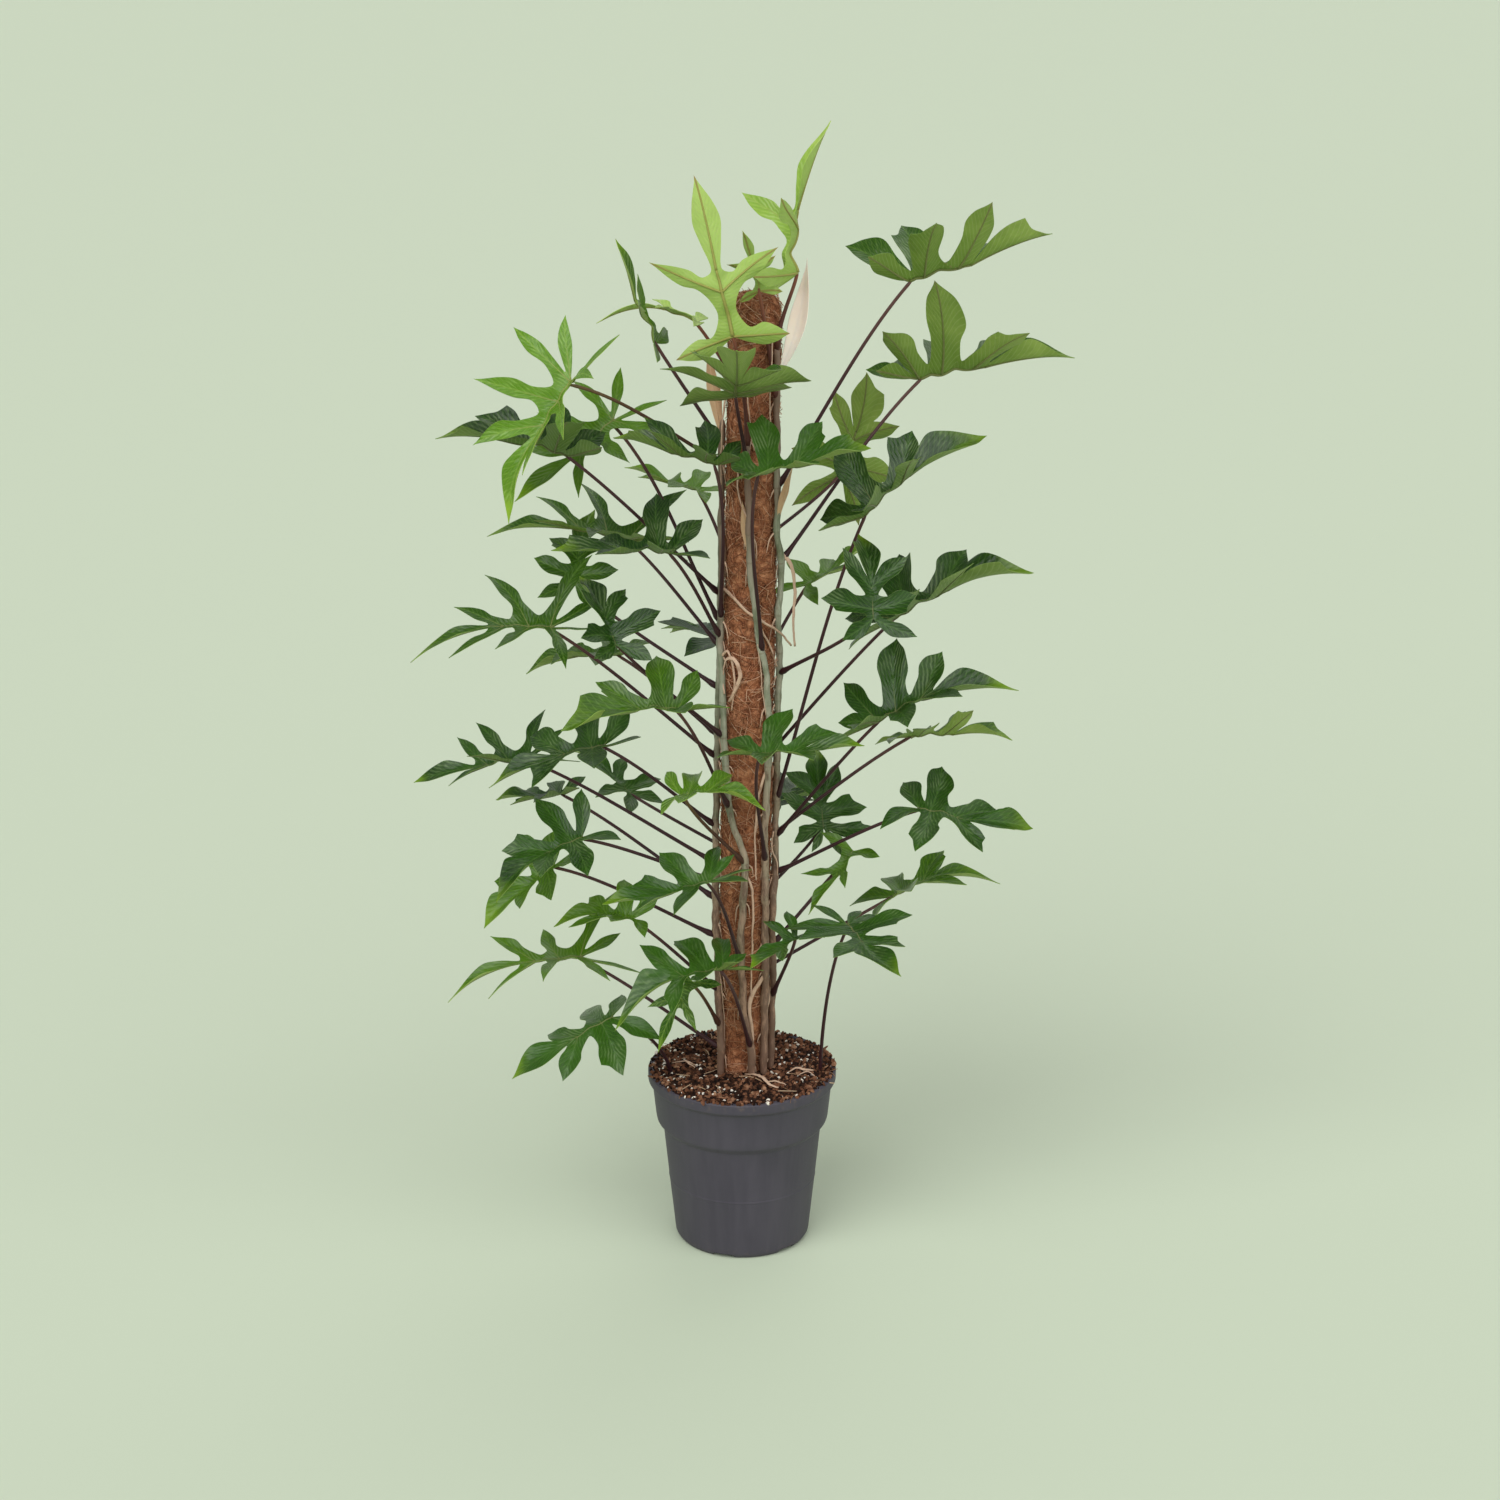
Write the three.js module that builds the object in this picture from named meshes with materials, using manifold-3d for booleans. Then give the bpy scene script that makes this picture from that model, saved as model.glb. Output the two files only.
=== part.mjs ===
// Potted oakleaf philodendron: climbing stems on a coir pole in a plain nursery pot.
// Millimetres, +Z up, origin at the centre of the pot's underside, where it stands.
// -Y is the front. Every stem, leaf with its stalk, sheath, the pole and the pot is a solid of its own.
import * as THREE from 'three';
import { mergeVertices } from 'three/addons/utils/BufferGeometryUtils.js';
import Module from 'manifold-3d';

const wasm = await Module();
wasm.setup();

const DEGREE = Math.PI / 180;
const UP = new THREE.Vector3(0, 0, 1);

// Clearance between pieces that touch.
const GAP = 0.3;

// Pot: a thin moulded cup with a wide collar, a lip and a notched foot.
const POT = {
  sides: 30,
  wall: 2,
  floorTop: 6.5,
  centrePad: 26,
  recess: 4,
  footInside: 62,
  footOutside: 69,
  baseRadius: 72.8,
  stepHeight: 131,
  stepRadius: 85.6,
  collarBottom: 143,
  collarBottomRadius: 93.2,
  collarTop: 180,
  collarTopRadius: 97,
  lipBottom: 183.5,
  lipRadius: 101.5,
  height: 195,
};
const DRAIN = { count: 8, circle: 47, radius: 5 };
const FOOT_NOTCH = { count: 6, first: -107, width: 20, height: 4.5 };

// Soil: fills the pot to the lip, with a crumbly top.
const SOIL = { edge: 193, crown: 199, ripple: 2.4, rings: [0, 44, 70, 86], holeTop: 260 };

// Coir pole: a fibre sleeve on a wooden stake, leaning slightly to +X.
const POLE = { radius: 26, bottom: 172, top: 1034, lean: 0.93, sides: 20 };
const STAKE = { radius: 11, bottom: 6.9, top: 1008, sides: 14 };

// Stems climb the pole's face. Each list holds heights and the angle round the pole, 0 at +X.
const STEM = { radius: 4.5, sides: 6, stepHeight: 40, foot: 138, clear: 0.9 };
const STEMS = {
  left: {
    top: 905,
    route: [[130, -134], [220, -136], [310, -152], [400, -172], [520, -184], [700, -196], [905, -188]],
  },
  front: {
    top: 800,
    route: [[130, -66], [210, -70], [290, -92], [340, -97], [440, -91], [510, -128], [590, -144],
      [680, -160], [800, -158]],
  },
  inner: {
    top: 890,
    route: [[130, -40], [300, -44], [480, -50], [580, -44], [640, -55], [700, -76], [760, -92], [890, -100]],
  },
  right: {
    top: 985,
    route: [[130, -8], [300, -14], [380, -22], [430, -4], [520, 2], [610, -14], [660, -2], [700, -22],
      [740, -6], [800, -34], [985, -44]],
  },
  back: {
    top: 930,
    route: [[130, 84], [300, 96], [500, 78], [700, 98], [930, 82]],
  },
};

// Aerial roots lie on the pole: the stem they leave, then heights and angles round the pole.
const ROOT = { radius: 1.3, sides: 4, steps: 6 };
const ROOTS = [
  { name: 'front', route: [[660, -156], [668, -136], [640, -120], [605, -128]] },
  { name: 'inner', route: [[705, -78], [690, -62], [672, -40], [650, -20]] },
  { name: 'inner', route: [[545, -46], [520, -62], [470, -70], [420, -66]] },
  { name: 'front', route: [[430, -90], [410, -76], [350, -72], [290, -74]] },
  { name: 'right', route: [[600, -14], [575, 4], [530, 16], [480, 20]] },
  { name: 'right', route: [[300, -14], [270, -26], [235, -28], [205, -26]] },
  { name: 'back', route: [[560, 84], [530, 104], [480, 116], [430, 112]] },
];

// Dry sheaths of former leaves, grown from a stem at a height, with heading round +Z, rise, roll,
// length and cup.
const SHEATHS = [
  { name: 'right', node: 952, heading: 6, rise: 65, roll: 75, length: 118, cup: 0.5 },
  { name: 'left', node: 884, heading: 205, rise: 82, roll: 60, length: 90, cup: 0.7 },
  { name: 'right', node: 800, heading: -40, rise: 86, roll: 0, length: 66, cup: 0.3 },
  { name: 'inner', node: 770, heading: 200, rise: 82, roll: 60, length: 60, cup: 0.6 },
];

// Leaf outlines. Each lobe: rib foot along the midrib, angle off it, length and half width, in blade
// lengths, and its kind of edge. The last row is the end lobe, the others grow on both sides.
const FORMS = {
  pedate: [[0, 150, 0.38, 0.05, 'slim'], [0, 108, 0.52, 0.08, 'broad'], [0.14, 74, 0.55, 0.112, 'broad'],
    [0.34, 44, 0.45, 0.09, 'broad'], [0.42, 0, 0.58, 0.125, 'pointed']],
  seven: [[0, 126, 0.47, 0.088, 'slim'], [0.1, 83, 0.54, 0.12, 'broad'], [0.33, 46, 0.46, 0.096, 'broad'],
    [0.42, 0, 0.58, 0.132, 'pointed']],
  slender: [[0, 150, 0.48, 0.038, 'slim'], [0, 104, 0.58, 0.05, 'slim'], [0.15, 70, 0.56, 0.058, 'pointed'],
    [0.33, 40, 0.48, 0.05, 'pointed'], [0.42, 0, 0.58, 0.072, 'pointed']],
  young: [[0, 98, 0.41, 0.068, 'slim'], [0.28, 56, 0.48, 0.06, 'pointed'], [0.42, 0, 0.58, 0.088, 'pointed']],
  sheath: [[0.04, 0, 0.96, 0.085, 'pointed']],
};
const LOBE_EDGE = {
  slim: [[0.56, 1]],
  broad: [[0.48, 0.96], [0.8, 0.66]],
  pointed: [[0.44, 0.96], [0.76, 0.6]],
};
const SINUS = { along: 0.14, aside: 0.3 };
const BLADE = { thickness: 1.1, ribReach: 0.03, ribMiddle: 0.55 };
const STALK = { radius: 2.2, sides: 5, stepLength: 62, seatReach: 54, seatHalvings: 12 };

// The stalk's curve: its end under the blade, along the midrib and below it, then how far the curve's
// handles reach, in shares of its span, and how much it turns along the midrib at its end.
const STALK_CURVE = {
  endAlong: 3,
  endBelow: 0.4,
  reach: 0.3,
  turn: 0.3,
  soilRise: 0.4,
  soilReach: 0.25,
  topRise: 0.35,
  topReach: 0.2,
};

// Colours by age of the blade.
const SHADES = { dark: 0x23521f, mid: 0x3d6b2b, bright: 0x6f9f2c, fresh: 0x9fc45c };

// Leaves. Stem, node height on it, then the point where stalk and blade meet (x, y, z), the blade's
// heading round +Z, rise and roll in degrees, length, form, shade, cup (rise of the halves off the midrib)
// and droop of the tips.
const LEAVES = [
  ['crown_front', 'inner', 890, -8, -65, 1002, 180, 76, 84, 160, 'young', 'fresh', 0.1, 0.1],
  ['crown_tall', 'right', 985, 55, -15, 1056, 88, 82, -78, 147, 'young', 'fresh', 0.85, 0.1],
  ['crown_curl', 'right', 930, 18, -39, 1042, 172, 76, 76, 64, 'young', 'fresh', 0.5, 0.6],
  ['crown_dark', 'inner', 866, -6, -74, 945, -88, 24, 0, 146, 'seven', 'dark', 0.5, 0.3],
  ['crown_edge', 'left', 880, -87, 20, 980, 180, 65, 0, 110, 'young', 'mid', 0.3, 0.2],
  ['crown_back', 'back', 900, -45, 60, 994, 180, 20, 15, 95, 'young', 'fresh', 0.3, 0.5],
  ['left_a', 'left', 690, -132, 50, 894, 208, -36, -30, 135, 'slender', 'mid', 0.6, 0.5],
  ['left_b', 'left', 860, -168, -64, 957, 206, -54, -20, 150, 'slender', 'bright', 0.9, 0.5],
  ['left_c', 'left', 720, -174, -30, 876, 184, 16, -8, 132, 'seven', 'dark', 0.8, 0.3],
  ['left_d', 'front', 680, -70, -60, 783, 190, 5, -10, 120, 'seven', 'dark', 0.4, 0.4],
  ['left_e', 'left', 665, -119, 90, 759, 177, 10, 0, 150, 'slender', 'mid', 0.6, 0.3],
  ['left_f', 'left', 545, -195, -30, 697, 184, 2, -14, 142, 'slender', 'mid', 0.5, 0.5],
  ['left_g', 'left', 620, -177, 90, 711, 80, 50, 0, 85, 'seven', 'mid', 0.4, 0.4],
  ['left_h', 'front', 575, -127, -70, 690, 120, 48, 0, 92, 'seven', 'dark', 0.5, 0.3],
  ['left_i', 'front', 500, -64, -100, 632, 195, 4, -15, 118, 'seven', 'mid', 0.6, 0.3],
  ['left_j', 'left', 570, -130, 90, 632, 170, -5, 0, 110, 'seven', 'mid', 0.4, 0.4],
  ['left_k', 'left', 470, -142, -30, 570, 190, -10, -16, 125, 'seven', 'dark', 0.6, 0.5],
  ['left_l', 'left', 430, -227, 32, 535, 180, -10, -10, 127, 'slender', 'dark', 0.5, 0.4],
  ['left_m', 'left', 410, -165, -60, 480, 210, -14, -22, 115, 'seven', 'dark', 0.5, 0.5],
  ['left_n', 'left', 390, -191, 70, 482, 170, -8, 0, 80, 'seven', 'dark', 0.4, 0.4],
  ['left_o', 'left', 350, -199, 10, 423, 200, -35, -18, 100, 'seven', 'mid', 0.5, 0.4],
  ['left_p', 'back', 420, -120, 110, 467, 130, 20, 0, 90, 'seven', 'dark', 0.4, 0.4],
  ['left_q', 'front', 440, -63, -76, 532, -8, 10, 12, 86, 'seven', 'bright', 0.5, 0.4],
  ['left_r', 'front', 330, -33, -104, 448, 195, -12, -12, 112, 'pedate', 'dark', 0.5, 0.5],
  ['left_s', 'left', 290, -113, -50, 386, 170, 5, -20, 85, 'seven', 'mid', 0.5, 0.6],
  ['left_t', 'left', 225, -174, 20, 314, 185, -4, -6, 146, 'slender', 'mid', 0.5, 0.4],
  ['left_u', 'soil', 195, -137, -60, 278, 196, -26, -20, 124, 'seven', 'dark', -0.4, 0.3],
  ['left_v', 'front', 230, -20, -100, 350, 195, -6, -4, 120, 'pedate', 'dark', 0.5, 0.5],
  ['left_w', 'left', 250, -52, -58, 318, 228, -40, -30, 78, 'young', 'bright', 0.5, 0.4],
  ['front_a', 'front', 700, -24, -80, 878, 172, 12, 0, 108, 'seven', 'dark', 0.6, 0.3],
  ['right_a', 'right', 840, 166, -11, 1048, 0, 14, -15, 148, 'seven', 'mid', 0.9, 0.2],
  ['right_b', 'right', 760, 182, 60, 936, 0, 10, -15, 160, 'pedate', 'mid', 0.9, 0.3],
  ['right_c', 'back', 760, 105, 128, 818, 0, 72, -90, 118, 'seven', 'mid', 0.2, 0.3],
  ['right_d', 'right', 500, 123, -37, 816, 0, 42, 14, 144, 'seven', 'dark', 0.8, 0.3],
  ['right_e', 'right', 640, 131, -103, 727, 95, 56, 0, 95, 'seven', 'dark', 0.5, 0.3],
  ['right_f', 'back', 520, 157, 20, 692, -2, 29, 15, 150, 'seven', 'dark', 0.7, 0.3],
  ['right_g', 'right', 460, 140, -46, 602, 0, 28, 12, 142, 'pedate', 'dark', 0.7, 0.4],
  ['right_h', 'back', 430, 176, 40, 557, 0, 2, -20, 110, 'seven', 'mid', 0.4, 0.3],
  ['right_i', 'right', 420, 183, -50, 508, -12, -10, 22, 120, 'seven', 'dark', 0.4, 0.5],
  ['right_j', 'back', 280, 163, 80, 360, 15, 22, 0, 115, 'seven', 'mid', 0.4, 0.3],
  ['right_k', 'soil', 195, 110, -75, 389, -72, -4, 4, 122, 'pedate', 'dark', 0.2, 0.5],
  ['right_l', 'right', 340, 118, 10, 439, -130, -35, 0, 88, 'young', 'mid', 0.5, 0.4],
  ['right_m', 'back', 360, 88, 80, 440, 100, 55, 0, 98, 'pedate', 'dark', 0.4, 0.3],
  ['right_n', 'right', 280, 58, -62, 371, -130, -10, 0, 74, 'seven', 'dark', 0.4, 0.4],
  ['right_o', 'inner', 440, 16, -98, 583, -8, 6, 6, 108, 'seven', 'dark', 0.6, 0.4],
  ['right_p', 'inner', 670, 14, -104, 873, -8, 14, 8, 118, 'seven', 'dark', 0.6, 0.3],
  ['back_a', 'back', 610, 68, 110, 703, 40, 15, 0, 90, 'seven', 'mid', 0.4, 0.4],
  ['back_b', 'back', 700, -44, 110, 806, 150, 5, 0, 90, 'seven', 'mid', 0.4, 0.4],
  ['back_c', 'back', 540, -24, 190, 619, 110, 0, 0, 125, 'seven', 'dark', 0.4, 0.4],
  ['back_d', 'back', 330, 31, 170, 433, 70, 0, 0, 125, 'pedate', 'dark', 0.4, 0.4],
];

// Where stalks that rise from the soil enter it, and how deep they start.
const SOIL_NODES = { left_u: [-74, -8], right_k: [84, -6] };
const SOIL_FOOT = 168;

// Draws numbers that depend on the seed alone.
class Draw {
  constructor(seed) {
    this.state = (seed * 7919) % 2147483646 + 1;
    for (let i = 0; i < 3; i += 1) this.next();
  }

  next() {
    this.state = (this.state * 16807) % 2147483647;
    return (this.state - 1) / 2147483646;
  }

  between(low, high) {
    return low + (high - low) * this.next();
  }
}

// Makes a solid of a closed three.js geometry.
function solidOf(geometry) {
  const bare = geometry.clone();
  for (const name of Object.keys(bare.attributes)) {
    if (name !== 'position') bare.deleteAttribute(name);
  }
  const merged = mergeVertices(bare, 1e-4);
  const corners = [];
  for (let i = 0; i < merged.index.count; i += 3) {
    const [a, b, c] = [0, 1, 2].map((k) => merged.index.getX(i + k));
    if (a !== b && b !== c && c !== a) corners.push(a, b, c);
  }
  const vertProperties = merged.attributes.position.array;
  return new wasm.Manifold(new wasm.Mesh({ numProp: 3, vertProperties, triVerts: new Uint32Array(corners) }));
}

function geometryOf(solid) {
  const mesh = solid.getMesh();
  const geometry = new THREE.BufferGeometry();
  geometry.setAttribute('position', new THREE.BufferAttribute(mesh.vertProperties, 3));
  geometry.setIndex(new THREE.BufferAttribute(mesh.triVerts, 1));
  return geometry;
}

// A closed turned solid with +Z as its axis. Points are radius and height, from the axis to the axis.
function turned(points, sides) {
  const profile = points.map(([radius, height]) => new THREE.Vector2(radius, height));
  return new THREE.LatheGeometry(profile, sides).rotateX(Math.PI / 2);
}

// A round bar along a curve.
function tube(curve, radius, sides, steps) {
  const section = new THREE.Shape();
  for (let i = 0; i < sides; i += 1) {
    const angle = (2 * Math.PI * i) / sides;
    const x = radius * Math.cos(angle);
    const y = radius * Math.sin(angle);
    if (i === 0) section.moveTo(x, y);
    else section.lineTo(x, y);
  }
  section.closePath();
  return new THREE.ExtrudeGeometry(section, { steps, extrudePath: curve, curveSegments: 1 });
}

// Leans a point or geometry with the pole, about the soil's height.
const LEAN = new THREE.Matrix4()
  .makeTranslation(0, 0, POT.height)
  .multiply(new THREE.Matrix4().makeRotationY(POLE.lean * DEGREE))
  .multiply(new THREE.Matrix4().makeTranslation(0, 0, -POT.height));

// The angle round the pole at a height, eased between the points of a route.
function angleAt(route, height) {
  const last = route.length - 1;
  if (height <= route[0][0]) return route[0][1];
  if (height >= route[last][0]) return route[last][1];
  const upper = route.findIndex(([z]) => z > height);
  const [lowZ, lowAngle] = route[upper - 1];
  const [highZ, highAngle] = route[upper];
  const t = (height - lowZ) / (highZ - lowZ);
  return lowAngle + (highAngle - lowAngle) * t * t * (3 - 2 * t);
}

function onPole(angle, height, distance) {
  const turn = angle * DEGREE;
  return new THREE.Vector3(distance * Math.cos(turn), distance * Math.sin(turn), height).applyMatrix4(LEAN);
}

const STEM_DISTANCE = POLE.radius + STEM.radius + STEM.clear;

function stemPoint(name, height) {
  return onPole(angleAt(STEMS[name].route, height), height, STEM_DISTANCE);
}

function stemCurve(name) {
  const rise = STEMS[name].top - STEM.foot;
  const count = Math.round(rise / STEM.stepHeight);
  const points = [];
  for (let i = 0; i <= count; i += 1) points.push(stemPoint(name, STEM.foot + (rise * i) / count));
  return { curve: new THREE.CatmullRomCurve3(points), steps: count };
}

function stemGeometry(name) {
  const { curve, steps } = stemCurve(name);
  let solid = solidOf(tube(curve, STEM.radius, STEM.sides, steps));
  for (const sheath of SHEATHS.filter((each) => each.name === name)) {
    const frame = bladeFrame(sheath.heading, sheath.rise, sheath.roll);
    const place = new THREE.Matrix4().makeBasis(frame.along, frame.left, frame.out);
    place.setPosition(stemPoint(name, sheath.node));
    const blade = new Blade('sheath', sheath.length, sheath.cup, 0, sheath.node).geometry();
    solid = solid.add(solidOf(blade.applyMatrix4(place)));
  }
  for (const root of ROOTS.filter((each) => each.name === name)) {
    const points = root.route.map(([height, angle], i) => {
      const distance = i === 0 ? STEM_DISTANCE : POLE.radius + ROOT.radius + STEM.clear;
      return onPole(angle, height, distance);
    });
    solid = solid.add(solidOf(tube(new THREE.CatmullRomCurve3(points), ROOT.radius, ROOT.sides, ROOT.steps)));
  }
  return geometryOf(solid);
}

// One lobe: its rib runs from the foot at an angle, and a point on it is given along and across.
class Lobe {
  constructor(foot, angle, length, halfWidth, edge) {
    this.foot = new THREE.Vector2(foot, 0);
    this.along = new THREE.Vector2(Math.cos(angle), Math.sin(angle));
    this.across = new THREE.Vector2(-this.along.y, this.along.x);
    this.length = length;
    this.halfWidth = halfWidth;
    this.edge = LOBE_EDGE[edge];
  }

  at(t, s) {
    const point = this.foot.clone().addScaledVector(this.along, t * this.length);
    return point.addScaledVector(this.across, s * this.halfWidth);
  }

  side(sign) {
    return this.edge.map(([t, s]) => this.at(t, sign * s));
  }
}

// A lobed blade, flat in u (along the midrib) and v (to its left), then bent to its grown form.
class Blade {
  constructor(form, length, cup, droop, seed) {
    const draw = new Draw(seed);
    const rows = FORMS[form];
    this.length = length;
    this.cup = cup;
    this.end = rows.length - 1;
    this.lobes = [];
    for (let i = 0; i < this.end; i += 1) this.lobes.push(this.drawn(draw, rows[i], -1));
    this.lobes.push(this.drawn(draw, rows[this.end], 0));
    for (let i = this.end - 1; i >= 0; i -= 1) this.lobes.push(this.drawn(draw, rows[i], 1));
    for (const lobe of this.lobes) {
      lobe.droop = (droop / length) * draw.between(0, 1.6);
      lobe.lift = draw.between(-0.3, 0.28);
      lobe.bend = draw.between(-0.5, 0.5) / length;
      lobe.twist = draw.between(-0.7, 0.7) / length;
      lobe.fold = draw.between(0.2, 0.6);
    }
  }

  drawn(draw, [foot, angle, length, halfWidth, edge], side) {
    const turn = side === 0 ? draw.between(-5, 5) : side * angle + draw.between(-6, 6);
    const reach = length * (side === 0 ? 1 : draw.between(0.82, 1.08));
    const width = halfWidth * draw.between(0.9, 1.1);
    const size = this.length;
    return new Lobe(foot * size, turn * DEGREE, reach * size, width * size, edge);
  }

  sinus(i) {
    const here = this.lobes[i].at(SINUS.along, SINUS.aside);
    return here.add(this.lobes[i + 1].at(SINUS.along, -SINUS.aside)).multiplyScalar(0.5);
  }

  // Triangles between a lobe's rib and one of its edges, taken in step from the foot to the tip.
  halfLobe(lobe, sign, corner) {
    const tip = [1, lobe.at(1, 0)];
    const middle = lobe.edge.length > 1 ? [[BLADE.ribMiddle, lobe.at(BLADE.ribMiddle, 0)]] : [];
    const rib = [[0, lobe.foot], ...middle, tip];
    const edge = [[SINUS.along, corner], ...lobe.edge.map(([t, s]) => [t, lobe.at(t, sign * s)]), tip];
    const faces = [];
    while (rib.length > 1 || edge.length > 1) {
      const onEdge = rib.length === 1 || (edge.length > 1 && edge[1][0] <= rib[1][0]);
      const next = onEdge ? edge[1] : rib[1];
      const [a, b, c] = [rib[0][1], edge[0][1], next[1]];
      faces.push(sign < 0 ? [a, b, c] : [a, c, b]);
      if (onEdge) edge.shift();
      else rib.shift();
    }
    return faces;
  }

  outline() {
    const points = [new THREE.Vector2(0, 0)];
    this.lobes.forEach((lobe, i) => {
      points.push(...lobe.side(-1), lobe.at(1, 0), ...lobe.side(1).reverse());
      if (i < this.lobes.length - 1) points.push(this.sinus(i));
    });
    return points;
  }

  // The flat blade's triangles: both halves of each lobe, and the web between neighbouring feet.
  faces() {
    const stalk = new THREE.Vector2(0, 0);
    const last = this.lobes.length - 1;
    const faces = [];
    this.lobes.forEach((lobe, i) => {
      faces.push(...this.halfLobe(lobe, -1, i === 0 ? stalk : this.sinus(i - 1)));
      faces.push(...this.halfLobe(lobe, 1, i === last ? stalk : this.sinus(i)));
      if (i < last) faces.push([this.lobes[i + 1].foot, lobe.foot, this.sinus(i)]);
    });
    const apart = (a, b) => a.distanceTo(b) > 1e-6;
    return faces.filter(([a, b, c]) => apart(a, b) && apart(b, c) && apart(c, a));
  }

  // Bends a flat point: the halves rise, each lobe folds at its rib, lifts, droops, bends and twists.
  grown(point) {
    const soft = BLADE.ribReach * this.length;
    const total = { weight: 0, u: 0, v: 0, z: 0 };
    for (const lobe of this.lobes) {
      const offset = point.clone().sub(lobe.foot);
      const t = offset.dot(lobe.along);
      const s = offset.dot(lobe.across);
      const beyond = t - Math.min(Math.max(t, 0), lobe.length);
      const weight = 1 / (beyond * beyond + s * s + soft * soft) ** 2;
      const run = Math.max(t, 0);
      const fold = lobe.fold * (Math.hypot(s, soft) - soft);
      total.weight += weight;
      total.u += weight * lobe.across.x * lobe.bend * run * run;
      total.v += weight * lobe.across.y * lobe.bend * run * run;
      total.z += weight * (lobe.lift * run - lobe.droop * run * run + fold + lobe.twist * run * s);
    }
    const rise = this.cup * (Math.hypot(point.y, soft) - soft);
    const { weight, u, v, z } = total;
    return new THREE.Vector3(point.x + u / weight, point.y + v / weight, z / weight + rise);
  }

  // The blade's solid: the same triangles above and below, closed round the edge.
  geometry() {
    const half = BLADE.thickness / 2;
    const positions = [];
    const raised = (point, side) => this.grown(point).add(new THREE.Vector3(0, 0, side * half)).toArray();
    const face = (a, b, c) => {
      positions.push(...raised(a, 1), ...raised(b, 1), ...raised(c, 1));
      positions.push(...raised(a, -1), ...raised(c, -1), ...raised(b, -1));
    };
    for (const [a, b, c] of this.faces()) face(a, b, c);
    const edge = this.outline();
    edge.forEach((a, i) => {
      const b = edge[(i + 1) % edge.length];
      positions.push(...raised(a, 1), ...raised(a, -1), ...raised(b, -1));
      positions.push(...raised(a, 1), ...raised(b, -1), ...raised(b, 1));
    });
    const attribute = new THREE.Float32BufferAttribute(positions, 3);
    return new THREE.BufferGeometry().setAttribute('position', attribute);
  }
}

// The blade's own frame: along the midrib, to its left, and out of its upper face.
function bladeFrame(heading, rise, roll) {
  const yaw = heading * DEGREE;
  const pitch = rise * DEGREE;
  const level = Math.cos(pitch);
  const along = new THREE.Vector3(Math.cos(yaw) * level, Math.sin(yaw) * level, Math.sin(pitch));
  const left = new THREE.Vector3(-Math.sin(yaw), Math.cos(yaw), 0).applyAxisAngle(along, roll * DEGREE);
  return { along, left, out: new THREE.Vector3().crossVectors(along, left) };
}

// The stalk's curve: off the stem at a distance from its axis, or up from the soil, to just under the blade.
function stalkCurve(leaf, frame, away = 0) {
  const c = STALK_CURVE;
  const joint = new THREE.Vector3(leaf.x, leaf.y, leaf.z);
  const end = joint.clone().addScaledVector(frame.along, c.endAlong).addScaledVector(frame.out, -c.endBelow);
  if (leaf.stem === 'soil') {
    const start = new THREE.Vector3(...SOIL_NODES[leaf.name], SOIL_FOOT);
    const reach = start.distanceTo(joint);
    const low = start.clone().addScaledVector(UP, reach * c.soilRise);
    const near = end.clone().sub(low).normalize().addScaledVector(frame.along, c.turn).normalize();
    const high = end.clone().addScaledVector(near, -c.soilReach * reach);
    return new THREE.CubicBezierCurve3(start, low, high, end);
  }
  const node = stemPoint(leaf.stem, leaf.node);
  const chord = joint.clone().sub(node);
  const reach = chord.length();
  if (leaf.node >= STEMS[leaf.stem].top) {
    const tip = node.addScaledVector(UP, away);
    const low = tip.clone().addScaledVector(UP, c.topRise * reach);
    const high = end.clone().addScaledVector(frame.along, -c.topReach * reach);
    return new THREE.CubicBezierCurve3(tip, low, high, end);
  }
  const direction = chord.normalize();
  const start = node.clone().addScaledVector(direction, away);
  const near = direction.clone().addScaledVector(frame.along, c.turn).normalize();
  return new THREE.CubicBezierCurve3(
    start,
    start.clone().addScaledVector(direction, c.reach * reach),
    end.clone().addScaledVector(near, -c.reach * reach),
    end,
  );
}

function stalkTube(curve, clearance = 0) {
  const steps = Math.max(2, Math.round(curve.getLength() / STALK.stepLength));
  return tube(curve, STALK.radius + clearance, STALK.sides, steps);
}

// The stalk, started where it lies just clear of its stem.
function seatedStalk(leaf, frame) {
  if (leaf.stem === 'soil') return solidOf(stalkTube(stalkCurve(leaf, frame)));
  const { curve, steps } = stemCurve(leaf.stem);
  const stem = solidOf(tube(curve, STEM.radius, STEM.sides, steps));
  let near = 0;
  let far = STALK.seatReach;
  for (let i = 0; i < STALK.seatHalvings; i += 1) {
    const middle = (near + far) / 2;
    const stalk = solidOf(stalkTube(stalkCurve(leaf, frame, middle)));
    if (stalk.minGap(stem, STALK.seatReach) < GAP) near = middle;
    else far = middle;
  }
  return solidOf(stalkTube(stalkCurve(leaf, frame, far)));
}

function leafGeometry(leaf) {
  const frame = bladeFrame(leaf.heading, leaf.rise, leaf.roll);
  const place = new THREE.Matrix4().makeBasis(frame.along, frame.left, frame.out);
  place.setPosition(leaf.x, leaf.y, leaf.z);
  const blade = new Blade(leaf.form, leaf.length, leaf.cup, leaf.droop, leaf.seed).geometry();
  return geometryOf(solidOf(blade.applyMatrix4(place)).add(seatedStalk(leaf, frame)));
}

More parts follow.
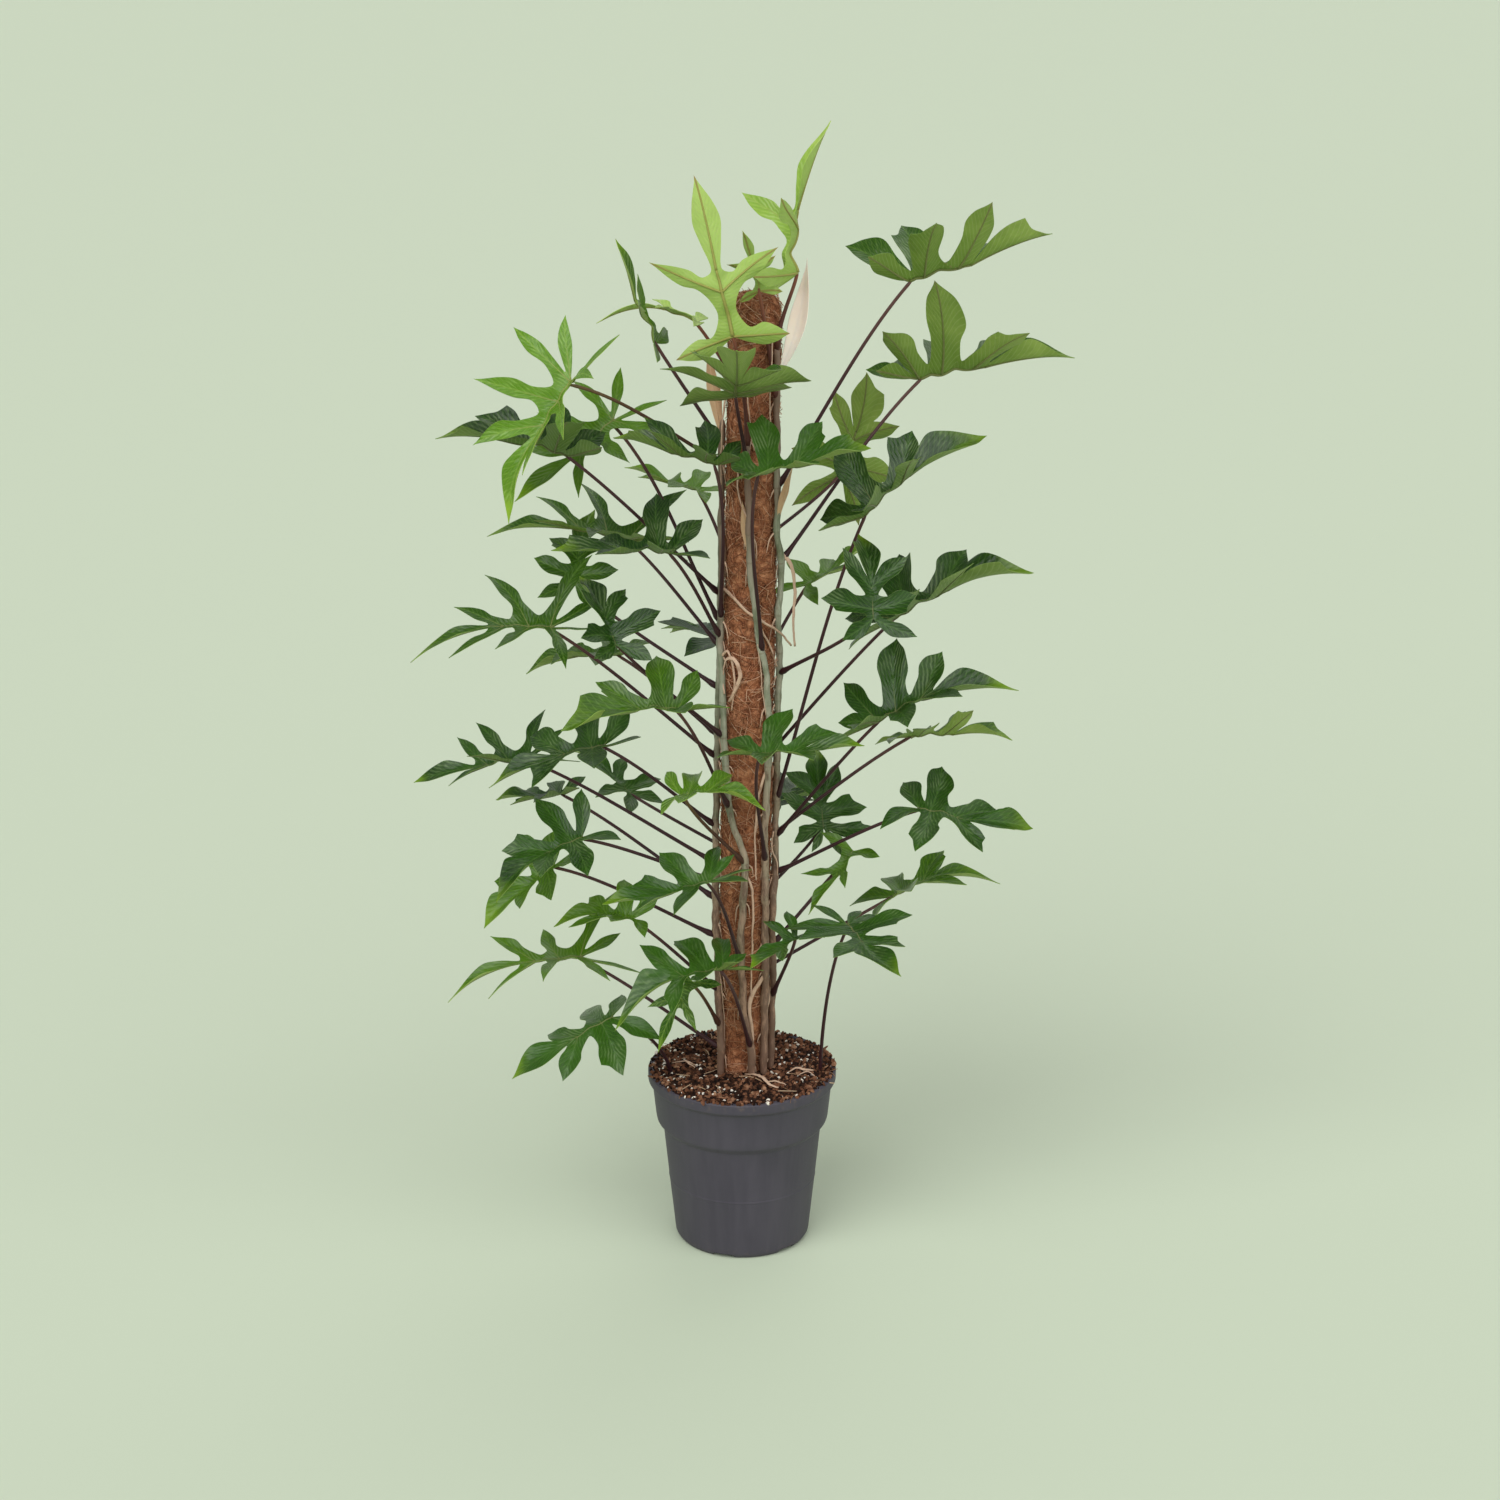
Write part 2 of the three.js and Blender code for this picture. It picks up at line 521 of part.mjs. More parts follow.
function potGeometry() {
  const p = POT;
  const outside = [
    [0, 0],
    [p.centrePad, 0],
    [p.centrePad + 3, p.recess],
    [p.footInside - 3, p.recess],
    [p.footInside, 0],
    [p.footOutside, 0],
    [p.baseRadius, 5],
    [p.stepRadius, p.stepHeight],
    [p.collarBottomRadius - 1, p.collarBottom - 5],
    [p.collarBottomRadius, p.collarBottom],
    [p.collarTopRadius, p.collarTop],
    [p.lipRadius, p.lipBottom],
    [p.lipRadius, p.height - 1.5],
    [p.lipRadius - 1.5, p.height],
  ];
  const inside = innerProfile(0).reverse();
  let solid = solidOf(turned([...outside, ...inside, [0, p.floorTop]], p.sides));
  for (let i = 0; i < DRAIN.count; i += 1) {
    const hole = new THREE.CylinderGeometry(DRAIN.radius, DRAIN.radius, 12, 8).rotateX(Math.PI / 2);
    const angle = (i * 360 * DEGREE) / DRAIN.count;
    hole.translate(DRAIN.circle * Math.cos(angle), DRAIN.circle * Math.sin(angle), p.recess);
    solid = solid.subtract(solidOf(hole));
  }
  for (let i = 0; i < FOOT_NOTCH.count; i += 1) {
    const notch = new THREE.BoxGeometry(30, FOOT_NOTCH.width, 2 * FOOT_NOTCH.height);
    notch.translate(p.baseRadius, 0, 0).rotateZ((FOOT_NOTCH.first + (i * 360) / FOOT_NOTCH.count) * DEGREE);
    solid = solid.subtract(solidOf(notch));
  }
  return geometryOf(solid);
}

// The pot's inner wall from its floor to its lip, pulled in by a clearance.
function innerProfile(clearance) {
  const inset = POT.wall + clearance;
  return [
    [POT.baseRadius - inset - 3, POT.floorTop + clearance],
    [POT.baseRadius - inset + 0.4, POT.floorTop + clearance + 4],
    [POT.stepRadius - inset, POT.stepHeight],
    [POT.collarBottomRadius - inset, POT.collarBottom],
    [POT.collarTopRadius - inset, POT.height],
  ];
}

function soilGeometry() {
  const wall = innerProfile(GAP);
  const rim = wall.pop();
  const share = (SOIL.edge - POT.collarBottom) / (POT.height - POT.collarBottom);
  const [lowRadius] = wall[wall.length - 1];
  const edgeRadius = lowRadius + (rim[0] - lowRadius) * share;
  const fall = SOIL.crown - SOIL.edge - 1.5;
  const top = SOIL.rings.map((radius) => [radius, SOIL.crown - fall * (radius / edgeRadius) ** 2]);
  const profile = [[0, wall[0][1]], ...wall, [edgeRadius, SOIL.edge], ...top.reverse()];
  const geometry = turned(profile, POT.sides);
  const place = geometry.attributes.position;
  for (let i = 0; i < place.count; i += 1) {
    const radius = Math.hypot(place.getX(i), place.getY(i));
    if (place.getZ(i) > SOIL.edge + 1 && radius > 1) {
      const swell = Math.sin(place.getX(i) * 0.11 + 1) + Math.cos(place.getY(i) * 0.13 - 0.5);
      place.setZ(i, place.getZ(i) + SOIL.ripple * 0.5 * swell);
    }
  }
  return geometry;
}

// Everything that stands in the soil, enlarged by the clearance, is cut out of it.
function soilWithHoles(leaves) {
  const hole = (radius, bottom, sides) => {
    const wide = radius + GAP;
    const bar = turned([[0, bottom], [wide, bottom], [wide, SOIL.holeTop], [0, SOIL.holeTop]], sides);
    return solidOf(bar.applyMatrix4(LEAN));
  };
  let solid = solidOf(soilGeometry());
  solid = solid.subtract(hole(POLE.radius, POLE.bottom - GAP, POLE.sides));
  solid = solid.subtract(hole(STAKE.radius, 0, STAKE.sides));
  for (const name of Object.keys(STEMS)) {
    const { curve, steps } = stemCurve(name);
    const socket = tube(curve, STEM.radius + 2 * GAP, STEM.sides, steps).translate(0, 0, -GAP);
    solid = solid.subtract(solidOf(socket));
  }
  for (const leaf of leaves.filter((each) => each.stem === 'soil')) {
    const curve = stalkCurve(leaf, bladeFrame(leaf.heading, leaf.rise, leaf.roll));
    solid = solid.subtract(solidOf(stalkTube(curve, 2 * GAP).translate(0, 0, -GAP)));
  }
  return geometryOf(solid);
}

function sleeveGeometry() {
  const draw = new Draw(91);
  const rings = [];
  for (let height = POLE.bottom; height < POLE.top - 40; height += 168) {
    rings.push([POLE.radius - draw.between(0, 0.5), height]);
  }
  const dome = [[25.4, POLE.top - 16], [22.5, POLE.top - 6.5], [13, POLE.top - 1.5], [0, POLE.top]];
  const sleeve = solidOf(turned([[0, POLE.bottom], ...rings, ...dome], POLE.sides));
  const radius = STAKE.radius + GAP;
  const mouth = POLE.bottom - 5;
  const end = STAKE.top + GAP;
  const bore = solidOf(turned([[0, mouth], [radius, mouth], [radius, end], [0, end]], STAKE.sides));
  return geometryOf(sleeve.subtract(bore)).applyMatrix4(LEAN);
}

function stakeGeometry() {
  const { radius, bottom, top, sides } = STAKE;
  const profile = [[0, bottom], [radius, bottom], [radius, top - 3], [radius - 3, top], [0, top]];
  return turned(profile, sides).applyMatrix4(LEAN);
}

function finish(color, roughness = 0.7) {
  return new THREE.MeshStandardMaterial({ color, roughness, metalness: 0 });
}

const FIELDS = ['name', 'stem', 'node', 'x', 'y', 'z', 'heading', 'rise', 'roll', 'length', 'form', 'shade',
  'cup', 'droop'];
const leaves = LEAVES.map((row, i) => {
  const leaf = { seed: i + 1 };
  FIELDS.forEach((field, k) => {
    leaf[field] = row[k];
  });
  return leaf;
});

const plant = new THREE.Group();
function add(name, geometry, material) {
  const mesh = new THREE.Mesh(geometry, material);
  mesh.name = name;
  plant.add(mesh);
}

add('pot', potGeometry(), finish(0x48484e, 0.6));
add('soil', soilWithHoles(leaves), finish(0x2f1d14, 0.95));
add('coir_sleeve', sleeveGeometry(), finish(0x8a5234, 0.95));
add('pole_stake', stakeGeometry(), finish(0xa98a5c, 0.8));
for (const name of Object.keys(STEMS)) add(`stem_${name}`, stemGeometry(name), finish(0x8a8f78, 0.6));
for (const leaf of leaves) add(`leaf_${leaf.name}`, leafGeometry(leaf), finish(SHADES[leaf.shade], 0.45));

export default plant;
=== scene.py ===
"""Potted oakleaf philodendron climbing a coir pole: its finished looks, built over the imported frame.

The plant's own sizes are in millimetres, in the frame's axes. Every mesh is made in metres, where it stands.
"""

import logging
import math
from dataclasses import dataclass
from enum import Enum
from typing import Any, Iterable, Protocol, Sequence

import bpy
import numpy as np
from bpy.types import ColorRamp, ID, Material, Mesh, Modifier, Node, NodeSocket, NodeTree, Object
from mathutils import Matrix, Vector, noise
from mathutils.geometry import delaunay_2d_cdt


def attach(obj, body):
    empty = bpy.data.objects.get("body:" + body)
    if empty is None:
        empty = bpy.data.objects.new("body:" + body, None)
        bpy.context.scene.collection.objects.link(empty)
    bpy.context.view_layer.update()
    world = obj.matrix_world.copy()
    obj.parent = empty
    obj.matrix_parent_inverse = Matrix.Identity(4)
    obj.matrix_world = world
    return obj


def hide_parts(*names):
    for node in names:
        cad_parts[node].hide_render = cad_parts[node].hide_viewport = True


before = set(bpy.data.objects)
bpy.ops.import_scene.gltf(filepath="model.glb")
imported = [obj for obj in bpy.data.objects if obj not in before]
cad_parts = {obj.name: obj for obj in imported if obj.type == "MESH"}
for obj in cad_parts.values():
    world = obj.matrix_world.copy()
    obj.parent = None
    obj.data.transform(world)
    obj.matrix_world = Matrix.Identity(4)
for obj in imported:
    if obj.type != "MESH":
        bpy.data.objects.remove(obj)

MM = 0.001
BODY = "root"
LOG = logging.getLogger("philodendron")
TINY = 1e-6

# A blade's UV map holds places along and off the rib of its lobe, in units of this many millimetres.
LOBE_MAP = "lobe"
LOBE_UNIT = 100.0

Pair = tuple[float, float]
Triple = tuple[float, float, float]
Colour = Triple
Solid = tuple[np.ndarray, list[tuple[int, ...]]]


class Shade(Enum):
    """Age of a leaf, by the colour of its blade."""

    DARK = "leaf_dark"
    MID = "leaf_mid"
    BRIGHT = "leaf_bright"
    FRESH = "leaf_fresh"


class Edge(Enum):
    """Kind of edge of a lobe: points along its rib, and off it in half widths."""

    SLIM = ((0.32, 0.7), (0.56, 1.0), (0.8, 0.6), (0.93, 0.18))
    BROAD = ((0.34, 0.78), (0.54, 1.0), (0.74, 0.8), (0.88, 0.36), (0.95, 0.13))
    POINTED = ((0.3, 0.76), (0.5, 1.0), (0.7, 0.72), (0.84, 0.36), (0.94, 0.1))


class Form(Enum):
    """Outline of a blade. Each lobe: its rib's foot and angle, length, half width, edge. End lobe last."""

    PEDATE = (
        (0.0, 150, 0.38, 0.05, Edge.SLIM),
        (0.0, 108, 0.52, 0.08, Edge.BROAD),
        (0.14, 74, 0.55, 0.112, Edge.BROAD),
        (0.34, 44, 0.45, 0.09, Edge.BROAD),
        (0.42, 0, 0.58, 0.125, Edge.POINTED),
    )
    SEVEN = (
        (0.0, 126, 0.47, 0.088, Edge.SLIM),
        (0.1, 83, 0.54, 0.12, Edge.BROAD),
        (0.33, 46, 0.46, 0.096, Edge.BROAD),
        (0.42, 0, 0.58, 0.132, Edge.POINTED),
    )
    SLENDER = (
        (0.0, 150, 0.48, 0.038, Edge.SLIM),
        (0.0, 104, 0.58, 0.05, Edge.SLIM),
        (0.15, 70, 0.56, 0.058, Edge.POINTED),
        (0.33, 40, 0.48, 0.05, Edge.POINTED),
        (0.42, 0, 0.58, 0.072, Edge.POINTED),
    )
    YOUNG = (
        (0.0, 98, 0.41, 0.068, Edge.SLIM),
        (0.28, 56, 0.48, 0.06, Edge.POINTED),
        (0.42, 0, 0.58, 0.088, Edge.POINTED),
    )
    SHEATH = ((0.04, 0, 0.96, 0.085, Edge.POINTED),)


@dataclass(frozen=True)
class LeafPlan:
    """Where one leaf grows and how its blade is held."""

    name: str
    stem: str
    node: float
    joint: Triple
    heading: float
    rise: float
    roll: float
    length: float
    form: Form
    shade: Shade
    cup: float
    droop: float


# Leaves: stem, height of the node on it, the point where stalk and blade meet, the blade's heading round +Z,
# rise and roll in degrees, length, form, age, cup of the halves and droop of the tips.
LEAF_ROWS = (
    ("crown_front", "inner", 890, (-8, -65, 1002), 180, 76, 84, 160, Form.YOUNG, Shade.FRESH, 0.1, 0.1),
    ("crown_tall", "right", 985, (55, -15, 1056), 88, 82, -78, 147, Form.YOUNG, Shade.FRESH, 0.85, 0.1),
    ("crown_curl", "right", 930, (18, -39, 1042), 172, 76, 76, 64, Form.YOUNG, Shade.FRESH, 0.5, 0.6),
    ("crown_dark", "inner", 866, (-6, -74, 945), -88, 24, 0, 146, Form.SEVEN, Shade.DARK, 0.5, 0.3),
    ("crown_edge", "left", 880, (-87, 20, 980), 180, 65, 0, 110, Form.YOUNG, Shade.MID, 0.3, 0.2),
    ("crown_back", "back", 900, (-45, 60, 994), 180, 20, 15, 95, Form.YOUNG, Shade.FRESH, 0.3, 0.5),
    ("left_a", "left", 690, (-132, 50, 894), 208, -36, -30, 135, Form.SLENDER, Shade.MID, 0.6, 0.5),
    ("left_b", "left", 860, (-168, -64, 957), 206, -54, -20, 150, Form.SLENDER, Shade.BRIGHT, 0.9, 0.5),
    ("left_c", "left", 720, (-174, -30, 876), 184, 16, -8, 132, Form.SEVEN, Shade.DARK, 0.8, 0.3),
    ("left_d", "front", 680, (-70, -60, 783), 190, 5, -10, 120, Form.SEVEN, Shade.DARK, 0.4, 0.4),
    ("left_e", "left", 665, (-119, 90, 759), 177, 10, 0, 150, Form.SLENDER, Shade.MID, 0.6, 0.3),
    ("left_f", "left", 545, (-195, -30, 697), 184, 2, -14, 142, Form.SLENDER, Shade.MID, 0.5, 0.5),
    ("left_g", "left", 620, (-177, 90, 711), 80, 50, 0, 85, Form.SEVEN, Shade.MID, 0.4, 0.4),
    ("left_h", "front", 575, (-127, -70, 690), 120, 48, 0, 92, Form.SEVEN, Shade.DARK, 0.5, 0.3),
    ("left_i", "front", 500, (-64, -100, 632), 195, 4, -15, 118, Form.SEVEN, Shade.MID, 0.6, 0.3),
    ("left_j", "left", 570, (-130, 90, 632), 170, -5, 0, 110, Form.SEVEN, Shade.MID, 0.4, 0.4),
    ("left_k", "left", 470, (-142, -30, 570), 190, -10, -16, 125, Form.SEVEN, Shade.DARK, 0.6, 0.5),
    ("left_l", "left", 430, (-227, 32, 535), 180, -10, -10, 127, Form.SLENDER, Shade.DARK, 0.5, 0.4),
    ("left_m", "left", 410, (-165, -60, 480), 210, -14, -22, 115, Form.SEVEN, Shade.DARK, 0.5, 0.5),
    ("left_n", "left", 390, (-191, 70, 482), 170, -8, 0, 80, Form.SEVEN, Shade.DARK, 0.4, 0.4),
    ("left_o", "left", 350, (-199, 10, 423), 200, -35, -18, 100, Form.SEVEN, Shade.MID, 0.5, 0.4),
    ("left_p", "back", 420, (-120, 110, 467), 130, 20, 0, 90, Form.SEVEN, Shade.DARK, 0.4, 0.4),
    ("left_q", "front", 440, (-63, -76, 532), -8, 10, 12, 86, Form.SEVEN, Shade.BRIGHT, 0.5, 0.4),
    ("left_r", "front", 330, (-33, -104, 448), 195, -12, -12, 112, Form.PEDATE, Shade.DARK, 0.5, 0.5),
    ("left_s", "left", 290, (-113, -50, 386), 170, 5, -20, 85, Form.SEVEN, Shade.MID, 0.5, 0.6),
    ("left_t", "left", 225, (-174, 20, 314), 185, -4, -6, 146, Form.SLENDER, Shade.MID, 0.5, 0.4),
    ("left_u", "soil", 195, (-137, -60, 278), 196, -26, -20, 124, Form.SEVEN, Shade.DARK, -0.4, 0.3),
    ("left_v", "front", 230, (-20, -100, 350), 195, -6, -4, 120, Form.PEDATE, Shade.DARK, 0.5, 0.5),
    ("left_w", "left", 250, (-52, -58, 318), 228, -40, -30, 78, Form.YOUNG, Shade.BRIGHT, 0.5, 0.4),
    ("front_a", "front", 700, (-24, -80, 878), 172, 12, 0, 108, Form.SEVEN, Shade.DARK, 0.6, 0.3),
    ("right_a", "right", 840, (166, -11, 1048), 0, 14, -15, 148, Form.SEVEN, Shade.MID, 0.9, 0.2),
    ("right_b", "right", 760, (182, 60, 936), 0, 10, -15, 160, Form.PEDATE, Shade.MID, 0.9, 0.3),
    ("right_c", "back", 760, (105, 128, 818), 0, 72, -90, 118, Form.SEVEN, Shade.MID, 0.2, 0.3),
    ("right_d", "right", 500, (123, -37, 816), 0, 42, 14, 144, Form.SEVEN, Shade.DARK, 0.8, 0.3),
    ("right_e", "right", 640, (131, -103, 727), 95, 56, 0, 95, Form.SEVEN, Shade.DARK, 0.5, 0.3),
    ("right_f", "back", 520, (157, 20, 692), -2, 29, 15, 150, Form.SEVEN, Shade.DARK, 0.7, 0.3),
    ("right_g", "right", 460, (140, -46, 602), 0, 28, 12, 142, Form.PEDATE, Shade.DARK, 0.7, 0.4),
    ("right_h", "back", 430, (176, 40, 557), 0, 2, -20, 110, Form.SEVEN, Shade.MID, 0.4, 0.3),
    ("right_i", "right", 420, (183, -50, 508), -12, -10, 22, 120, Form.SEVEN, Shade.DARK, 0.4, 0.5),
    ("right_j", "back", 280, (163, 80, 360), 15, 22, 0, 115, Form.SEVEN, Shade.MID, 0.4, 0.3),
    ("right_k", "soil", 195, (110, -75, 389), -72, -4, 4, 122, Form.PEDATE, Shade.DARK, 0.2, 0.5),
    ("right_l", "right", 340, (118, 10, 439), -130, -35, 0, 88, Form.YOUNG, Shade.MID, 0.5, 0.4),
    ("right_m", "back", 360, (88, 80, 440), 100, 55, 0, 98, Form.PEDATE, Shade.DARK, 0.4, 0.3),
    ("right_n", "right", 280, (58, -62, 371), -130, -10, 0, 74, Form.SEVEN, Shade.DARK, 0.4, 0.4),
    ("right_o", "inner", 440, (16, -98, 583), -8, 6, 6, 108, Form.SEVEN, Shade.DARK, 0.6, 0.4),
    ("right_p", "inner", 670, (14, -104, 873), -8, 14, 8, 118, Form.SEVEN, Shade.DARK, 0.6, 0.3),
    ("back_a", "back", 610, (68, 110, 703), 40, 15, 0, 90, Form.SEVEN, Shade.MID, 0.4, 0.4),
    ("back_b", "back", 700, (-44, 110, 806), 150, 5, 0, 90, Form.SEVEN, Shade.MID, 0.4, 0.4),
    ("back_c", "back", 540, (-24, 190, 619), 110, 0, 0, 125, Form.SEVEN, Shade.DARK, 0.4, 0.4),
    ("back_d", "back", 330, (31, 170, 433), 70, 0, 0, 125, Form.PEDATE, Shade.DARK, 0.4, 0.4),
)
LEAVES = [LeafPlan(*row) for row in LEAF_ROWS]

# Where the two stalks that rise from the soil enter it, and the height of their feet in it.
SOIL_NODES = {"left_u": (-74, -8), "right_k": (84, -6)}
SOIL_FOOT = 168

# Stems: the height where each ends, and heights with the angle round the pole, 0 at +X.
STEM_ROUTES = {
    "left": (
        905,
        ((130, -134), (220, -136), (310, -152), (400, -172), (520, -184), (700, -196), (905, -188)),
    ),
    "front": (
        800,
        ((130, -66), (210, -70), (290, -92), (340, -97), (440, -91), (510, -128), (590, -144), (680, -160),
         (800, -158)),
    ),
    "inner": (
        890,
        ((130, -40), (300, -44), (480, -50), (580, -44), (640, -55), (700, -76), (760, -92), (890, -100)),
    ),
    "right": (
        985,
        ((130, -8), (300, -14), (380, -22), (430, -4), (520, 2), (610, -14), (660, -2), (700, -22),
         (740, -6), (800, -34), (985, -44)),
    ),
    "back": (930, ((130, 84), (300, 96), (500, 78), (700, 98), (930, 82))),
}

# Aerial roots: the stem each leaves, its radius and flatness, and the points it passes, by height, angle
# round the pole and stand-off from the sleeve.
ROOT_ROUTES = (
    ("front", 1.5, 1, ((660, -156, 5), (668, -136, 4), (640, -120, 3), (605, -128, 2))),
    ("inner", 1.5, 1, ((705, -78, 5), (690, -62, 4), (672, -40, 3), (650, -20, 5))),
    ("inner", 1.5, 1, ((545, -46, 5), (520, -62, 3), (470, -70, 2), (420, -66, 2))),
    ("front", 1.5, 1, ((430, -90, 5), (410, -76, 3), (350, -72, 2), (290, -74, 2))),
    ("right", 1.5, 1, ((600, -14, 5), (575, 4, 4), (530, 16, 3), (480, 20, 2))),
    ("right", 1.5, 1, ((300, -14, 5), (270, -26, 3), (235, -28, 2), (205, -26, 2))),
    ("back", 1.5, 1, ((560, 84, 5), (530, 104, 3), (480, 116, 2), (430, 112, 2))),
    ("front", 2.2, 0.6, ((733, -160, 4), (726, -126, 3), (714, -96, 5), (703, -66, 9), (691, -39, 13),
                         (672, -12, 18))),
    ("right", 2.2, 0.5, ((770, -16, 7), (756, -8, 16), (729, -1, 20), (702, -3, 19), (668, 2, 21))),
    ("front", 2.8, 0.35, ((622, -140, 6), (640, -150, 4), (660, -136, 6), (663, -118, 8), (648, -106, 7),
                          (630, -116, 5), (614, -132, 4))),
    ("inner", 3.6, 0.3, ((866, -118, 3), (840, -118, 4), (820, -106, 4), (799, -88, 5), (770, -82, 6))),
    ("inner", 3.0, 0.3, ((680, -74, 6), (655, -66, 4), (632, -62, 4), (602, -54, 5))),
    ("right", 2.8, 0.4, ((470, -26, 6), (452, -30, 6), (430, -14, 9), (396, -6, 6))),
    ("left", 2.6, 0.3, ((330, -150, 6), (296, -144, 3), (262, -136, 2), (226, -132, 2))),
    ("inner", 2.6, 0.4, ((310, -48, 6), (284, -76, 3), (252, -70, 2), (214, -64, 3))),
    ("inner", 2.4, 0.3, ((945, -104, 2), (920, -98, 5), (896, -92, 6), (870, -98, 5))),
    ("left", 3.6, 0.3, ((940, -158, 3), (912, -160, 6), (880, -162, 7), (840, -168, 6))),
    ("right", 3.2, 0.3, ((1000, -52, 4), (965, -58, 6), (925, -60, 7), (880, -52, 6))),
)

# Dry sheaths of former leaves: stem, height on it, heading, rise, roll, length and cup.
SHEATHS = (
    ("right", 952, 6, 65, 75, 118, 0.5),
    ("left", 884, 205, 82, 60, 90, 0.7),
    ("right", 800, -40, 86, 0, 66, 0.3),
    ("inner", 770, 200, 82, 60, 60, 0.6),
)

# Dry scraps of root and sheath on the soil: half width, and the way each lies, seen from above.
SOIL_SCRAPS = (
    (2.3, ((3, -30), (12, -36), (21, -44), (30, -55), (39, -58))),
    (1.6, ((26, -50), (36, -49), (47, -54))),
    (1.5, ((-76, 4), (-68, -1), (-59, -3), (-49, -9))),
    (1.2, ((-62, 5), (-58, -6), (-50, -12))),
    (1.8, ((50, -20), (58, -15), (66, -18), (77, -13))),
    (1.3, ((61, -30), (70, -24), (81, -27))),
)


class Draw:
    """Numbers that depend on the seed alone, drawn in order: each is the last times a factor, wrapped."""

    FACTOR = 16807
    WRAP = 2147483647
    SEED_FACTOR = 7919
    SKIPPED = 3

    def __init__(self, seed: int) -> None:
        """Starts the row of numbers.

        Args:
            seed: A whole number above zero.
        """
        self.state = seed * self.SEED_FACTOR % (self.WRAP - 1) + 1
        for _ in range(self.SKIPPED):
            self.next()

    def next(self) -> float:
        """The next number from 0 to 1."""
        self.state = self.state * self.FACTOR % self.WRAP
        return (self.state - 1) / (self.WRAP - 1)

    def between(self, low: float, high: float) -> float:
        """The next number from low to high."""
        return low + (high - low) * self.next()


def smooth_line(points: Sequence[Sequence[float]], step: float) -> np.ndarray:
    """A smooth line through points, with more samples where they are far apart.

    Args:
        points: The points it passes, in two or three dimensions.
        step: About how far its samples lie apart.

    Returns:
        The samples, one row each, both ends among them.
    """
    given = np.array(points, float)
    padded = np.vstack([2 * given[0] - given[1], given, 2 * given[-1] - given[-2]])
    rows = [given[:1]]
    for i in range(len(given) - 1):
        p0, p1, p2, p3 = padded[i:i + 4]
        gaps = [max(np.linalg.norm(b - a), TINY) ** 0.5 for a, b in ((p0, p1), (p1, p2), (p2, p3))]
        knots = np.cumsum([0.0, *gaps])
        count = max(2, math.ceil(np.linalg.norm(p2 - p1) / step))
        t = np.linspace(knots[1], knots[2], count + 1)[1:, None]

        def blend(a: np.ndarray, b: np.ndarray, low: int, high: int) -> np.ndarray:
            """A point between two, by where t lies between two knots."""
            return ((knots[high] - t) * a + (t - knots[low]) * b) / (knots[high] - knots[low])

        first = blend(blend(p0, p1, 0, 1), blend(p1, p2, 1, 2), 0, 2)
        second = blend(blend(p1, p2, 1, 2), blend(p2, p3, 2, 3), 1, 3)
        rows.append(blend(first, second, 1, 2))
    return np.vstack(rows)


def bezier_line(points: Sequence[np.ndarray], count: int) -> np.ndarray:
    """Samples of a cubic curve.

    Args:
        points: Its four control points.
        count: How many samples it gets.

    Returns:
        The samples, one row each.
    """
    t = np.linspace(0, 1, count)[:, None]
    a, b, c, d = (np.array(p, float) for p in points)
    return (1 - t) ** 3 * a + 3 * (1 - t) ** 2 * t * b + 3 * (1 - t) * t ** 2 * c + t ** 3 * d


def unit(vector: np.ndarray) -> np.ndarray:
    """A vector of length 1 in the same direction."""
    return vector / np.linalg.norm(vector)


def bumpiness(point: Sequence[float], scale: float, octaves: int = 3) -> float:
    """Smooth noise about 0 at a point in millimetres, with features of the scale given."""
    return noise.fractal(Vector(point) / scale, 1.0, 2.0, octaves)


def placed(name: str, data: ID) -> Object:
    """Makes an object of some data and links it to the scene."""
    made = bpy.data.objects.new(name, data)
    bpy.context.scene.collection.objects.link(made)
    return made


def applied(piece: Object, modifier: Modifier) -> Mesh:
    """Turns what a modifier makes of an object into a plain mesh, and removes the modifier."""
    depsgraph = bpy.context.evaluated_depsgraph_get()
    mesh = bpy.data.meshes.new_from_object(piece.evaluated_get(depsgraph), depsgraph=depsgraph)
    piece.modifiers.remove(modifier)
    return mesh


